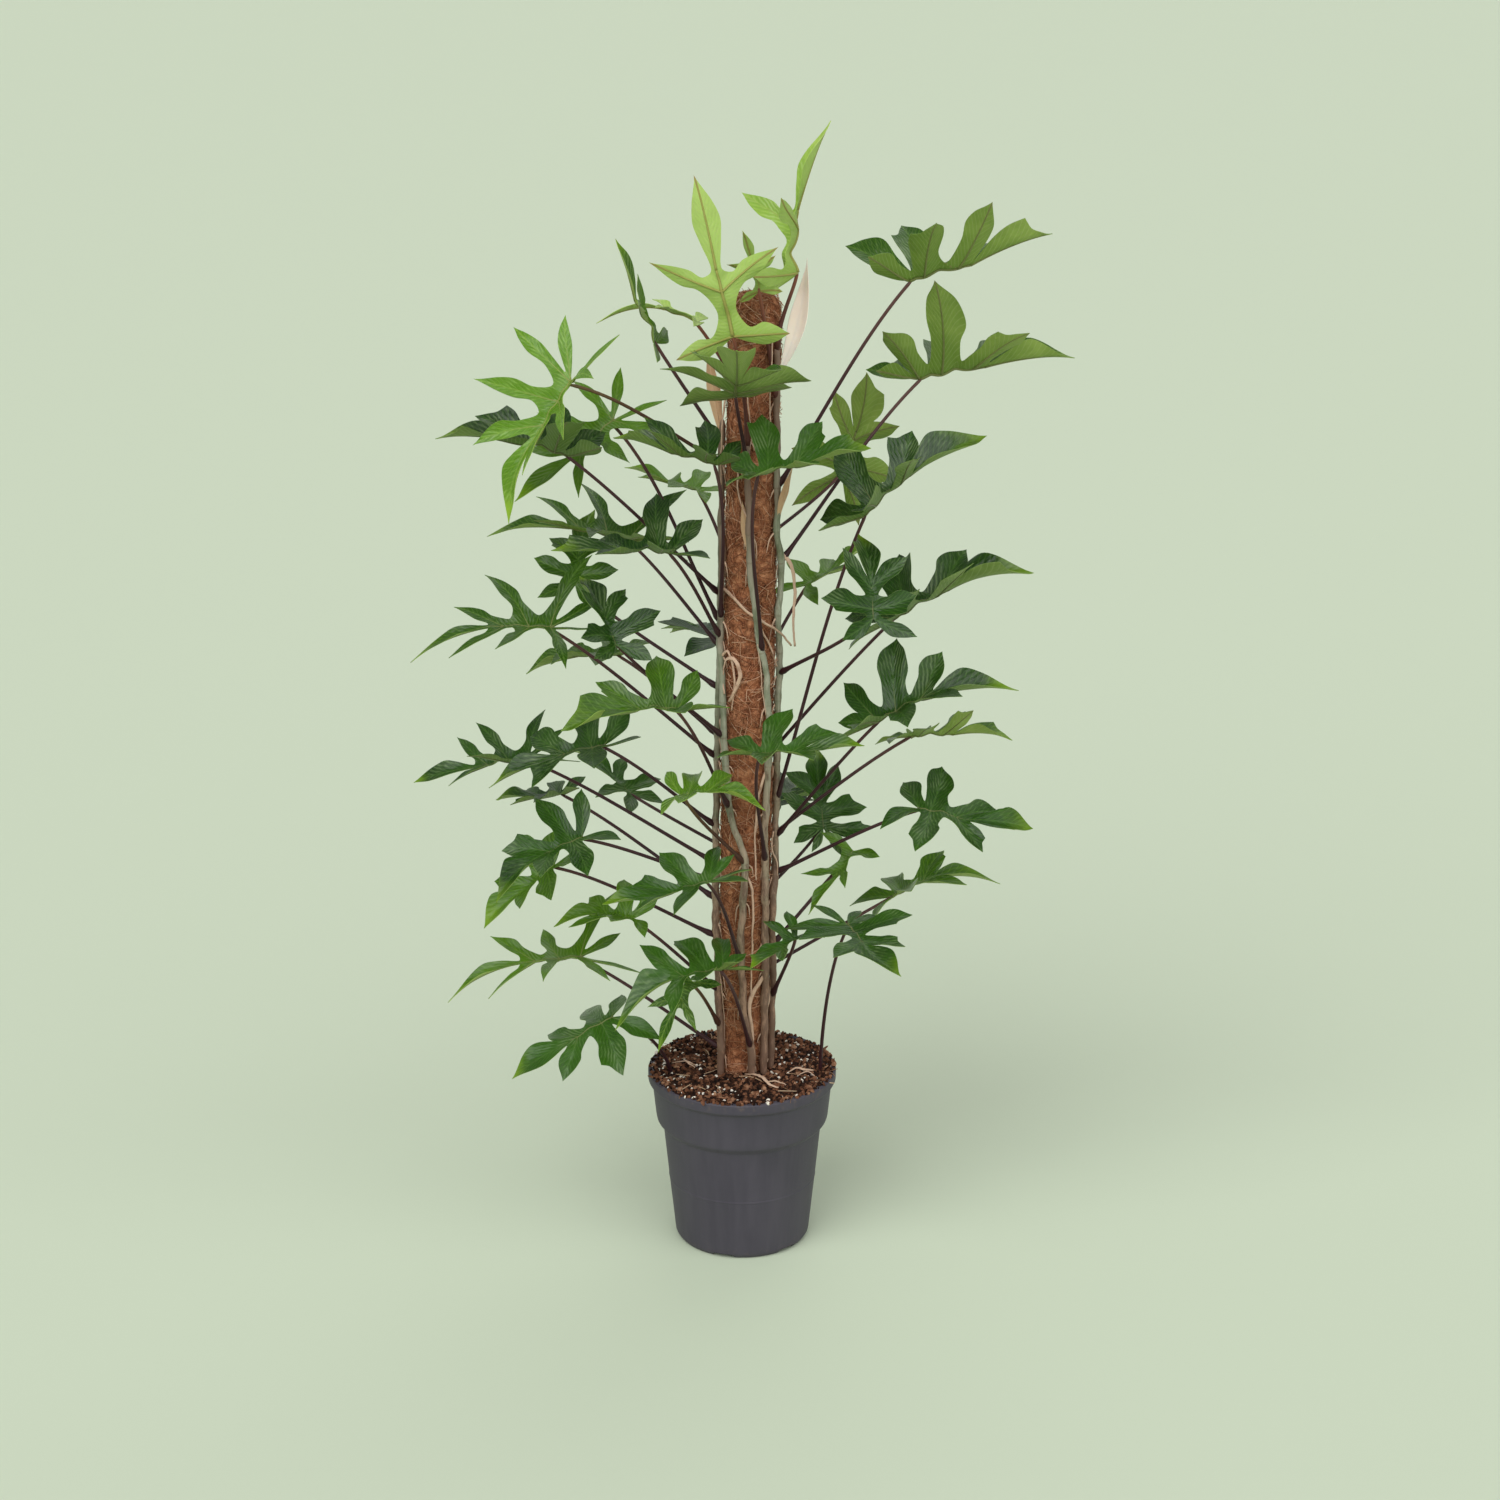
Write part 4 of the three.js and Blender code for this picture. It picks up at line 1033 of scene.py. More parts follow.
# Each skin's highlight colour is the painted highlight on its upper face.
LEAF_SKINS = {
    Shade.DARK: LeafSkin(
        name="leaf_dark", upper=(0.007, 0.032, 0.002), upper_light=(0.034, 0.108, 0.006),
        vein=(0.12, 0.24, 0.05), under=(0.09, 0.165, 0.024), under_light=(0.26, 0.36, 0.09),
        rib=(0.2, 0.17, 0.08), stalk_low=(0.04, 0.014, 0.016), stalk_high=(0.085, 0.034, 0.034), gloss=0.2,
    ),
    Shade.MID: LeafSkin(
        name="leaf_mid", upper=(0.02, 0.07, 0.002), upper_light=(0.085, 0.2, 0.005),
        vein=(0.19, 0.34, 0.06), under=(0.14, 0.235, 0.03), under_light=(0.35, 0.46, 0.11),
        rib=(0.24, 0.2, 0.09), stalk_low=(0.045, 0.016, 0.018), stalk_high=(0.11, 0.048, 0.04), gloss=0.2,
    ),
    Shade.BRIGHT: LeafSkin(
        name="leaf_bright", upper=(0.028, 0.1, 0.004), upper_light=(0.115, 0.26, 0.014),
        vein=(0.36, 0.54, 0.1), under=(0.22, 0.33, 0.04), under_light=(0.38, 0.5, 0.1),
        rib=(0.34, 0.3, 0.12), stalk_low=(0.07, 0.03, 0.018), stalk_high=(0.16, 0.1, 0.04), gloss=0.18,
        tip=(0.3, 0.48, 0.03), painted_highlight=(0.36, 0.54, 0.15),
    ),
    Shade.FRESH: LeafSkin(
        name="leaf_fresh", upper=(0.2, 0.38, 0.035), upper_light=(0.38, 0.56, 0.1),
        vein=(0.5, 0.62, 0.2), under=(0.27, 0.42, 0.07), under_light=(0.44, 0.6, 0.16),
        rib=(0.3, 0.1, 0.05), stalk_low=(0.09, 0.03, 0.022), stalk_high=(0.25, 0.09, 0.05), gloss=0.22,
        tip=(0.5, 0.66, 0.14), painted_highlight=(0.56, 0.7, 0.34),
    ),
}
SHEATH_NEW = DrySheath("sheath_new", (0.95, 0.86, 0.74), (0.85, 0.68, 0.56))
SHEATH_OLD = DrySheath("sheath_old", (0.64, 0.42, 0.24), (0.34, 0.17, 0.07))


@dataclass(frozen=True)
class PoleFrame:
    """The pole's axis, leaning a little to +X from the soil's level, and places round it."""

    radius: float = 26.0
    bottom: float = 172.0
    top: float = 1034.0
    lean: float = 0.93
    level: float = 195.0

    def lean_points(self, points: np.ndarray) -> np.ndarray:
        """Leans points with the pole, about the soil's level."""
        turn = math.radians(self.lean)
        x, y, z = points[:, 0], points[:, 1], points[:, 2] - self.level
        cos, sin = math.cos(turn), math.sin(turn)
        return np.column_stack([x * cos + z * sin, y, z * cos - x * sin + self.level])

    def place(self, height: float, angle: float, distance: float) -> np.ndarray:
        """The point at a height, an angle round the pole and a distance from its axis."""
        turn = math.radians(angle)
        point = (distance * math.cos(turn), distance * math.sin(turn), height)
        return self.lean_points(np.array([point]))[0]

    def trail(self, route: Sequence[Sequence[float]], step: float) -> np.ndarray:
        """A smooth line over the pole.

        Args:
            route: Its points, each by height, angle and stand-off from the sleeve.
            step: About how far its samples lie apart.

        Returns:
            The samples, one row each.
        """
        return smooth_line([self.place(h, angle, self.radius + off) for h, angle, off in route], step)


POLE = PoleFrame()


@dataclass(frozen=True)
class Stem:
    """One climbing stem: its route up the pole, and the leaves, roots and sheaths that grow from it."""

    name: str
    radius: float = 4.5
    clear: float = 0.9
    foot: float = 150.0
    step: float = 2.5
    sides: int = 14
    ring_gap: float = 36.0
    ring_room: float = 0.45
    ring_spread: Pair = (0.7, 1.7)
    ring_width: float = 1.8
    bare_foot: float = 62.0
    bare_tip: float = 10.0
    swell_rise: float = 3.0
    swell_width: float = 8.0
    taper: float = 0.25
    tip: Triple = (0.9, 0.66, 0.3)
    shares: Triple = (0.88, 0.14, 0.09)
    wander: Pair = (1.4, 26.0)
    root_step: float = 3.0
    root_wander: Pair = (0.7, 14.0)
    grips: int = 2
    grip_turn: Pair = (-20.0, 20.0)
    grip_drop: Pair = (8.0, 30.0)
    grip_radii: Pair = (1.1, 0.35)
    grip_step: float = 4.0

    @property
    def top(self) -> float:
        """The height where it ends."""
        return STEM_ROUTES[self.name][0]

    def angle_at(self, height: float) -> float:
        """The angle round the pole at a height, eased between the points of its route."""
        route = STEM_ROUTES[self.name][1]
        if height <= route[0][0]:
            return route[0][1]
        for (low, first), (high, second) in zip(route, route[1:]):
            if height < high:
                t = (height - low) / (high - low)
                return first + (second - first) * t * t * (3 - 2 * t)
        return route[-1][1]

    def point(self, height: float) -> np.ndarray:
        """The point on its middle line at a height."""
        return POLE.place(height, self.angle_at(height), POLE.radius + self.radius + self.clear)

    def rings(self) -> list[float]:
        """The heights of its nodes: where leaves grow, and where old ones have fallen between them."""
        grown = sorted(plan.node for plan in LEAVES if plan.stem == self.name)
        rings = list(grown)
        draw = Draw(10 + len(self.name))
        height = self.foot + self.bare_foot
        while height < self.top - self.bare_tip:
            if all(abs(height - other) > self.ring_gap * self.ring_room for other in grown):
                rings.append(height)
            height += self.ring_gap * draw.between(*self.ring_spread)
        return rings

    def build(self, bark: Material) -> Object:
        """Builds the stem, swollen at its nodes and tapered to its tip.

        Args:
            bark: Its material.

        Returns:
            The piece.
        """
        heights = np.append(np.arange(self.foot, self.top - 1, self.step), self.top)
        line = np.array([self.point(height) for height in heights])
        rings = np.array(self.rings())
        off = heights[:, None] - rings
        ring = np.exp(-((off / self.ring_width) ** 2)).max(axis=1)
        swell = np.exp(-(((off - self.swell_rise) / self.swell_width) ** 2)).max(axis=1)
        climb = (heights - self.foot) / (self.top - self.foot)
        taper = 1 - self.taper * climb
        taper[-len(self.tip):] *= self.tip
        rough = np.array([bumpiness((h, 17, len(self.name)), 14, 4) for h in heights])
        plain, swollen, lumpy = self.shares
        radii = self.radius * (plain * taper + swollen * swell + lumpy * rough)
        way, scale = self.wander
        stray = [(bumpiness((h, 3, 7), scale), bumpiness((h, 11, 5), scale), 0.0) for h in heights]
        line += way * np.array(stray)
        points, faces = rod(line, radii, self.sides)
        age = 1 - climb
        growth = np.repeat(np.column_stack([ring, age, age]), self.sides, axis=0)
        draft = Draft()
        draft.add(points, faces, {"growth": growth})
        return draft.finish(f"climbing_stem_{self.name}", bark)

    def build_roots(self, skin: Material) -> Object:
        """Builds the aerial roots that leave the stem, with short ones that grip the coir.

        Args:
            skin: Their material.

        Returns:
            The piece.
        """
        draft = Draft()
        self._draft_long_roots(draft)
        self._draft_grips(draft)
        return draft.finish(f"aerial_roots_{self.name}", skin)

    def _draft_long_roots(self, draft: Draft) -> None:
        """Adds the long roots that show, each along its own route."""
        way, scale = self.root_wander
        own = [entry for entry in ROOT_ROUTES if entry[0] == self.name]
        for i, (_, radius, flatness, route) in enumerate(own):
            line = POLE.trail(route, self.root_step)
            shake = np.array([[bumpiness((k * 3, i * 30 + axis * 9, 2), scale) for axis in range(3)]
                              for k in range(len(line))])
            radii = radius * np.linspace(1, 0.5, len(line)) * (1 + 0.25 * shake[:, 0])
            draft.add(*rod(line + shake * way, radii, 8, flatness))

    def _draft_grips(self, draft: Draft) -> None:
        """Adds the short roots that grip the coir at each node."""
        draw = Draw(40 + len(self.name))
        for height in self.rings():
            for _ in range(self.grips):
                angle = self.angle_at(height)
                turn = draw.between(*self.grip_turn)
                drop = draw.between(*self.grip_drop)
                route = ((height, angle, 4.5), (height - drop * 0.3, angle + turn * 0.7, 2.5),
                         (height - drop, angle + turn, 0.4))
                line = POLE.trail(route, self.grip_step)
                draft.add(*rod(line, np.linspace(*self.grip_radii, len(line)), 6))


@dataclass
class Lobe:
    """One lobe of a blade: its rib runs from the foot at an angle. Its bends are set when it is grown."""

    foot: np.ndarray
    angle: float
    length: float
    half_width: float
    edge: Edge
    droop: float = 0.0
    lift: float = 0.0
    bend: float = 0.0
    twist: float = 0.0
    fold: float = 0.0
    ripple: float = 0.0
    phase: float = 0.0
    skew: float = 0.0
    curl: float = 0.0
    toothed: int = 0

    TOOTH_FROM = 2
    TOOTH = ((0.72, 1.06, True), (0.77, 0.62, False), (0.88, 0.34, False))

    @property
    def along(self) -> np.ndarray:
        """The direction of its rib."""
        return np.array([math.cos(self.angle), math.sin(self.angle)])

    @property
    def across(self) -> np.ndarray:
        """The direction to the left of its rib."""
        return np.array([-math.sin(self.angle), math.cos(self.angle)])

    def at(self, t: float, s: float) -> np.ndarray:
        """The flat point at a share t of its length and s of its half width."""
        return self.foot + self.along * t * self.length + self.across * s * self.half_width

    def side(self, sign: int) -> list[tuple[np.ndarray, bool]]:
        """The points of one of its edges from the foot on, and whether each is a corner."""
        rows = [(t, s, False) for t, s in self.edge.value]
        if self.toothed == sign:
            rows[self.TOOTH_FROM:] = self.TOOTH
        return [(self.at(t, sign * s * (1 + sign * self.skew)), corner) for t, s, corner in rows]

    def measure(self, flat: np.ndarray) -> tuple[np.ndarray, np.ndarray]:
        """How far flat points lie along its rib and off it."""
        offset = flat - self.foot
        return offset @ self.along, offset @ self.across


class Blade:
    """A lobed blade, drawn flat in u along the midrib and v to its left, then bent to its grown form."""

    THICKNESS = 0.7
    RIB_REACH = 0.03
    SINUS = (0.14, 0.3)
    GRID = 3.2
    CURL_FROM = 0.62
    WAVE_RUN = 9.0
    WAVE_WIDEST = 1.2
    END_TURN = 5.0
    SIDE_TURN = 6.0
    SIDE_LENGTH = (0.82, 1.08)
    WIDTH = (0.9, 1.1)
    DROOP = (0.0, 1.6)
    LIFT = (-0.3, 0.28)
    BEND = (-0.5, 0.5)
    TWIST = (-0.7, 0.7)
    FOLD = (0.2, 0.6)
    RIPPLE = (0.4, 1.5)
    PHASE = (0.0, 6.0)
    SKEW = (-0.14, 0.14)
    CURL = (0.0, 0.7)
    TOOTHED = 0.3
    TRUNK_FROM = 0.5
    RIB_END = 0.97
    TRUNK_RADIUS = 0.0125
    TRUNK_TAPER = 0.6
    RIB_RADIUS = 0.0085
    RIB_TIP = 0.3
    RIM_OFF = 9.0
    ROW = 0.87
    ROOM = 0.55
    INSIDE = 1
    WELD = 0.02

    def __init__(self, form: Form, length: float, cup: float, droop: float, seed: int) -> None:
        """Draws the lobes and how each of them bends.

        Args:
            form: The blade's outline.
            length: Its length from the stalk to the end lobe's tip.
            cup: How much its halves rise off the midrib.
            droop: How much its tips hang.
            seed: What its variation depends on.
        """
        draw = Draw(seed)
        rows = form.value
        last = len(rows) - 1
        self.length = length
        self.cup = cup
        self.lobes = [self._drawn(draw, rows[i], 0 if i == last else -1) for i in range(last + 1)]
        self.lobes += [self._drawn(draw, rows[i], 1) for i in range(last - 1, -1, -1)]
        self.end = last
        for lobe in self.lobes:
            lobe.droop = droop / length * draw.between(*self.DROOP)
            lobe.lift = draw.between(*self.LIFT)
            lobe.bend = draw.between(*self.BEND) / length
            lobe.twist = draw.between(*self.TWIST) / length
            lobe.fold = draw.between(*self.FOLD)
        for lobe in self.lobes:
            lobe.ripple = draw.between(*self.RIPPLE)
            lobe.phase = draw.between(*self.PHASE)
            lobe.skew = draw.between(*self.SKEW)
            lobe.curl = draw.between(*self.CURL) / length
            teeth = draw.next()
            if lobe.edge is Edge.BROAD or (lobe.edge is Edge.POINTED and form is Form.SEVEN):
                lobe.toothed = -1 if teeth < self.TOOTHED else 1 if teeth < 2 * self.TOOTHED else 0

    def _drawn(self, draw: Draw, row: tuple[float, float, float, float, Edge], side: int) -> Lobe:
        """One lobe of the form, varied a little: side is -1 to the right, 1 to the left, 0 at the end."""
        foot, angle, length, half_width, edge = row
        stray = self.END_TURN if side == 0 else self.SIDE_TURN
        turn = side * angle + draw.between(-stray, stray)
        reach = length * (1 if side == 0 else draw.between(*self.SIDE_LENGTH))
        width = half_width * draw.between(*self.WIDTH)
        size = self.length
        return Lobe(np.array([foot * size, 0.0]), math.radians(turn), reach * size, width * size, edge)

    def sinus(self, i: int) -> np.ndarray:
        """The inner point between a lobe and the next."""
        along, aside = self.SINUS
        return (self.lobes[i].at(along, aside) + self.lobes[i + 1].at(along, -aside)) / 2

    def outline(self) -> np.ndarray:
        """The edge as a closed smooth line, with corners only at the stalk and the tips."""
        places = []
        for i, lobe in enumerate(self.lobes):
            places += lobe.side(-1) + [(lobe.at(1, 0), True)] + lobe.side(1)[::-1]
            if i < len(self.lobes) - 1:
                places.append((self.sinus(i), False))
        runs = []
        points = [np.zeros(2)]
        for place, corner in places + [(np.zeros(2), True)]:
            points.append(place)
            if corner:
                runs.append(smooth_line(points, self.GRID)[:-1])
                points = [place]
        return np.vstack(runs)

    def weights(self, flat: np.ndarray) -> np.ndarray:
        """How much each lobe counts at flat points: one row for each lobe."""
        soft = self.RIB_REACH * self.length
        rows = []
        for lobe in self.lobes:
            t, s = lobe.measure(flat)
            beyond = t - np.clip(t, 0, lobe.length)
            rows.append(1 / (beyond ** 2 + s ** 2 + soft ** 2) ** 2)
        return np.array(rows)

    def grown(self, flat: np.ndarray) -> np.ndarray:
        """Bends flat points: the halves rise, each lobe folds at its rib, lifts, droops, bends and twists.

        Args:
            flat: The flat points, one row each.

        Returns:
            The grown points in the blade's own axes.
        """
        soft = self.RIB_REACH * self.length
        weights = self.weights(flat)
        weights /= weights.sum(axis=0)
        shift = np.zeros((len(flat), 3))
        for lobe, weight in zip(self.lobes, weights):
            t, s = lobe.measure(flat)
            run = np.maximum(t, 0)
            shift[:, :2] += (weight * lobe.bend * run ** 2)[:, None] * lobe.across
            fold = lobe.fold * (np.hypot(s, soft) - soft)
            wide = np.minimum(s / lobe.half_width, self.WAVE_WIDEST)
            wave = lobe.ripple * wide ** 2 * np.sin(run / self.WAVE_RUN + lobe.phase)
            curl = lobe.curl * np.maximum(run - self.CURL_FROM * lobe.length, 0) ** 2
            rise = lobe.lift * run - lobe.droop * run ** 2 + fold + lobe.twist * run * s
            shift[:, 2] += weight * (rise + wave - curl)
        shift[:, 2] += self.cup * (np.hypot(flat[:, 1], soft) - soft)
        return np.column_stack([flat, np.zeros(len(flat))]) + shift

    def normals(self, flat: np.ndarray) -> np.ndarray:
        """The grown surface's upward normals at flat points."""
        step = 0.5
        du = self.grown(flat + (step, 0)) - self.grown(flat - (step, 0))
        dv = self.grown(flat + (0, step)) - self.grown(flat - (0, step))
        normals = np.cross(du, dv)
        return normals / np.linalg.norm(normals, axis=1)[:, None]

    def ribs(self) -> list[np.ndarray]:
        """The flat lines of the ribs: the trunk from the stalk to the end lobe, then one for each lobe."""
        trunk = [np.array([[self.TRUNK_FROM, 0.0], [self.lobes[self.end].foot[0], 0.0]])]
        lobes = [np.array([lobe.foot, lobe.at(self.RIB_END, 0)]) for lobe in self.lobes]
        lines = []
        for line in trunk + lobes:
            count = max(2, round(np.linalg.norm(line[1] - line[0]) / self.GRID))
            lines.append(line[0] + np.linspace(0, 1, count + 1)[:, None] * (line[1] - line[0]))
        return lines

    def flat_mesh(self) -> tuple[np.ndarray, np.ndarray]:
        """Triangles over the flat blade, with its edge and its ribs among their sides.

        Returns:
            The points and the triangles.
        """
        edge = self.outline()
        ribs = self.ribs()
        lines = np.vstack([edge, *ribs])
        low, high = edge.min(axis=0), edge.max(axis=0)
        us = np.arange(low[0], high[0], self.GRID)
        vs = np.arange(low[1], high[1], self.GRID * self.ROW)
        grid = np.array([(u + (k % 2) * self.GRID / 2, v) for k, v in enumerate(vs) for u in us])
        near = np.sqrt(((grid[:, None] - lines[None]) ** 2).sum(axis=2).min(axis=1))
        grid = grid[(near > self.GRID * self.ROOM) & self._inside(grid, edge)]
        points = [Vector(point) for point in np.vstack([edge, *ribs, grid])]
        sides = []
        first = len(edge)
        for rib in ribs:
            sides += [(first + k, first + k + 1) for k in range(len(rib) - 1)]
            first += len(rib)
        found = delaunay_2d_cdt(points, sides, [list(range(len(edge)))], self.INSIDE, self.WELD)
        flat = np.array([tuple(point) for point in found[0]])
        triangles = np.array([face for face in found[2] if len(face) == 3])
        corners = flat[triangles]
        turn = np.cross(corners[:, 1] - corners[:, 0], corners[:, 2] - corners[:, 0])
        triangles[turn < 0] = triangles[turn < 0][:, ::-1]
        return flat, triangles[np.abs(turn) > TINY]

    @staticmethod
    def _inside(points: np.ndarray, edge: np.ndarray) -> np.ndarray:
        """Which points lie inside a closed edge."""
        inside = np.zeros(len(points), bool)
        for (x0, y0), (x1, y1) in zip(edge, np.roll(edge, -1, axis=0)):
            if y0 != y1:
                crosses = (y0 > points[:, 1]) != (y1 > points[:, 1])
                inside ^= crosses & (points[:, 0] < (x1 - x0) * (points[:, 1] - y0) / (y1 - y0) + x0)
        return inside

    def draft(self, draft: Draft, axes: np.ndarray, joint: np.ndarray, tint: float) -> None:
        """Adds the grown blade and its raised ribs to a piece.

        Args:
            draft: The piece.
            axes: The blade's three axes in the frame, one row each.
            joint: Where its stalk meets it.
            tint: How light it is among its kind, from 0 to 1.
        """
        flat, triangles = self.flat_mesh()
        middle, normals = self.grown(flat), self.normals(flat)
        count = len(flat)
        lift = self.THICKNESS / 2
        points = np.vstack([middle + normals * lift, middle - normals * lift])
        owner = self.weights(flat[triangles].mean(axis=1)).argmax(axis=0)
        uv = np.zeros((len(triangles), 3, 2))
        for i, lobe in enumerate(self.lobes):
            mine = owner == i
            t, s = lobe.measure(flat[triangles[mine]].reshape(-1, 2))
            uv[mine] = np.column_stack([t, s]).reshape(-1, 3, 2)
        border = self._border(triangles)
        rim = [(a + count, b + count, b, a) for a, b in border]
        faces = triangles.tolist() + (triangles[:, ::-1] + count).tolist() + rim
        tipward = np.clip(np.linalg.norm(flat, axis=1) / self.length, 0, 1)
        growth = np.column_stack([np.full(count, tint), np.zeros(count), tipward])
        zone = np.zeros((2 * count, 3))
        zone[count:, 0] = 1
        off_rib = np.full((len(rim) * 4, 2), self.RIM_OFF)
        uvs = np.vstack([uv.reshape(-1, 2), uv[:, ::-1].reshape(-1, 2), off_rib])
        sharp = border + [(a + count, b + count) for a, b in border]
        marks = {"zone": zone, "growth": np.vstack([growth, growth])}
        draft.add(joint + points @ axes, faces, marks, uvs / LOBE_UNIT, sharp)
        self._draft_ribs(draft, axes, joint, tint)

    @staticmethod
    def _border(triangles: np.ndarray) -> list[tuple[int, int]]:
        """The sides that only one triangle has, each as it runs in that triangle."""
        sides = {(int(a), int(b)) for face in triangles for a, b in zip(face, np.roll(face, -1))}
        return [side for side in sorted(sides) if side[::-1] not in sides]

    def _draft_ribs(self, draft: Draft, axes: np.ndarray, joint: np.ndarray, tint: float) -> None:
        """Adds the ribs, which stand out below and show a little above."""
        trunk, *lobes = self.ribs()
        stout, slim = self.TRUNK_RADIUS * self.length, self.RIB_RADIUS * self.length
        ribs = [(trunk, stout * np.linspace(1, self.TRUNK_TAPER, len(trunk)))]
        ribs += [(line, np.linspace(slim, self.RIB_TIP, len(line))) for line in lobes]
        for line, radii in ribs:
            sunk = self.normals(line) * (radii * 0.5)[:, None]
            points, faces = rod(self.grown(line) - sunk, radii, 6)
            marks = {"zone": np.array([0.6, 1, 0]), "growth": np.array([tint, 0, 0.5])}
            draft.add(joint + points @ axes, faces, marks)


def blade_axes(heading: float, rise: float, roll: float) -> np.ndarray:
    """The blade's own axes: along the midrib, to its left, and out of its upper face.

    Args:
        heading: The midrib's direction round +Z, in degrees.
        rise: How steeply it climbs.
        roll: How far the blade is turned about it.

    Returns:
        The three axes, one row each.
    """
    yaw, pitch = math.radians(heading), math.radians(rise)
    along = Vector((math.cos(yaw) * math.cos(pitch), math.sin(yaw) * math.cos(pitch), math.sin(pitch)))
    left = Matrix.Rotation(math.radians(roll), 3, along) @ Vector((-math.sin(yaw), math.cos(yaw), 0))
    return np.array([along, left, along.cross(left)])


@dataclass(frozen=True)
class Leaf:
    """One leaf: its stalk from the stem or the soil, and its blade."""

    plan: LeafPlan
    seed: int
    stalk_radius: float = 2.0
    stalk_sides: int = 10
    stalk_step: float = 7.0
    end_in: float = 3.0
    end_under: float = 0.4
    start_in: float = 0.4
    turn_in: float = 0.3
    pull: float = 0.3
    soil_rise: float = 0.4
    soil_pull: float = 0.25
    tip_sink: float = 4.0
    tip_pulls: Pair = (0.35, 0.2)
    taper: float = 0.16
    blade_knot: Pair = (0.35, 6.0)
    foot_flare: Pair = (0.8, 16.0)
    foot_knot: Pair = (1.6, 12.0)
    ends: Pair = (0.6, 0.55)

    def stalk_line(self, axes: np.ndarray, stems: dict[str, Stem]) -> np.ndarray:
        """The stalk's middle line, from inside its stem or the soil to just under the blade.

        The pulls and the rise of its curve are shares of how far it reaches.

        Args:
            axes: The blade's axes.
            stems: The stems by name.

        Returns:
            The line's points.
        """
        plan = self.plan
        along, _, out = axes
        joint = np.array(plan.joint, float)
        end = joint + along * self.end_in - out * self.end_under
        up = np.array([0.0, 0.0, 1.0])
        if plan.stem == "soil":
            start = np.array([*SOIL_NODES[plan.name], SOIL_FOOT], float)
            reach = np.linalg.norm(joint - start)
            low = start + up * reach * self.soil_rise
            near = unit(unit(end - low) + along * self.turn_in)
            control = (start, low, end - near * self.soil_pull * reach, end)
        else:
            stem = stems[plan.stem]
            node = stem.point(plan.node)
            reach = np.linalg.norm(joint - node)
            if plan.node >= stem.top:
                first, last = self.tip_pulls
                start = node - up * self.tip_sink
                control = (start, node + up * first * reach, end - along * last * reach, end)
            else:
                toward = unit(joint - node)
                near = unit(toward + along * self.turn_in)
                start = node + toward * stem.radius * self.start_in
                control = (start, start + toward * self.pull * reach, end - near * self.pull * reach, end)
        count = max(6, round(float(reach) / self.stalk_step))
        return bezier_line(control, count)

    def build(self, stems: dict[str, Stem], skins: dict[Shade, Material]) -> Object:
        """Builds the leaf.

        Args:
            stems: The stems by name.
            skins: The leaf materials by age.

        Returns:
            The piece.
        """
        plan = self.plan
        axes = blade_axes(plan.heading, plan.rise, plan.roll)
        tint = Draw(self.seed + 300).next()
        draft = Draft()
        blade = Blade(plan.form, plan.length, plan.cup, plan.droop, self.seed)
        blade.draft(draft, axes, np.array(plan.joint, float), tint)
        line = self.stalk_line(axes, stems)
        reach = np.linspace(0, 1, len(line))
        run = reach * np.linalg.norm(np.diff(line, axis=0), axis=1).sum()
        left = run[-1] - run
        knot, flare, node = self.blade_knot, self.foot_flare, self.foot_knot
        radii = self.stalk_radius * (1 - self.taper * reach) + knot[0] * np.exp(-left / knot[1])
        radii += flare[0] * np.exp(-run / flare[1]) + node[0] * np.exp(-((run / node[1]) ** 2))
        radii[[0, -1]] *= self.ends
        points, faces = rod(line, radii, self.stalk_sides)
        growth = np.column_stack([np.full(len(line), tint), reach, reach])
        growth = np.repeat(growth, self.stalk_sides, axis=0)
        draft.add(points, faces, {"zone": np.array([0, 0, 1.0]), "growth": growth})
        return draft.finish(f"{plan.name}_blade_and_stalk", skins[plan.shade])


class Strewn(Protocol):
    """A small shape that a tree strews, of unit size."""

    def write(self, web: Web) -> NodeSocket:
        """Adds the shape's nodes and returns its geometry."""


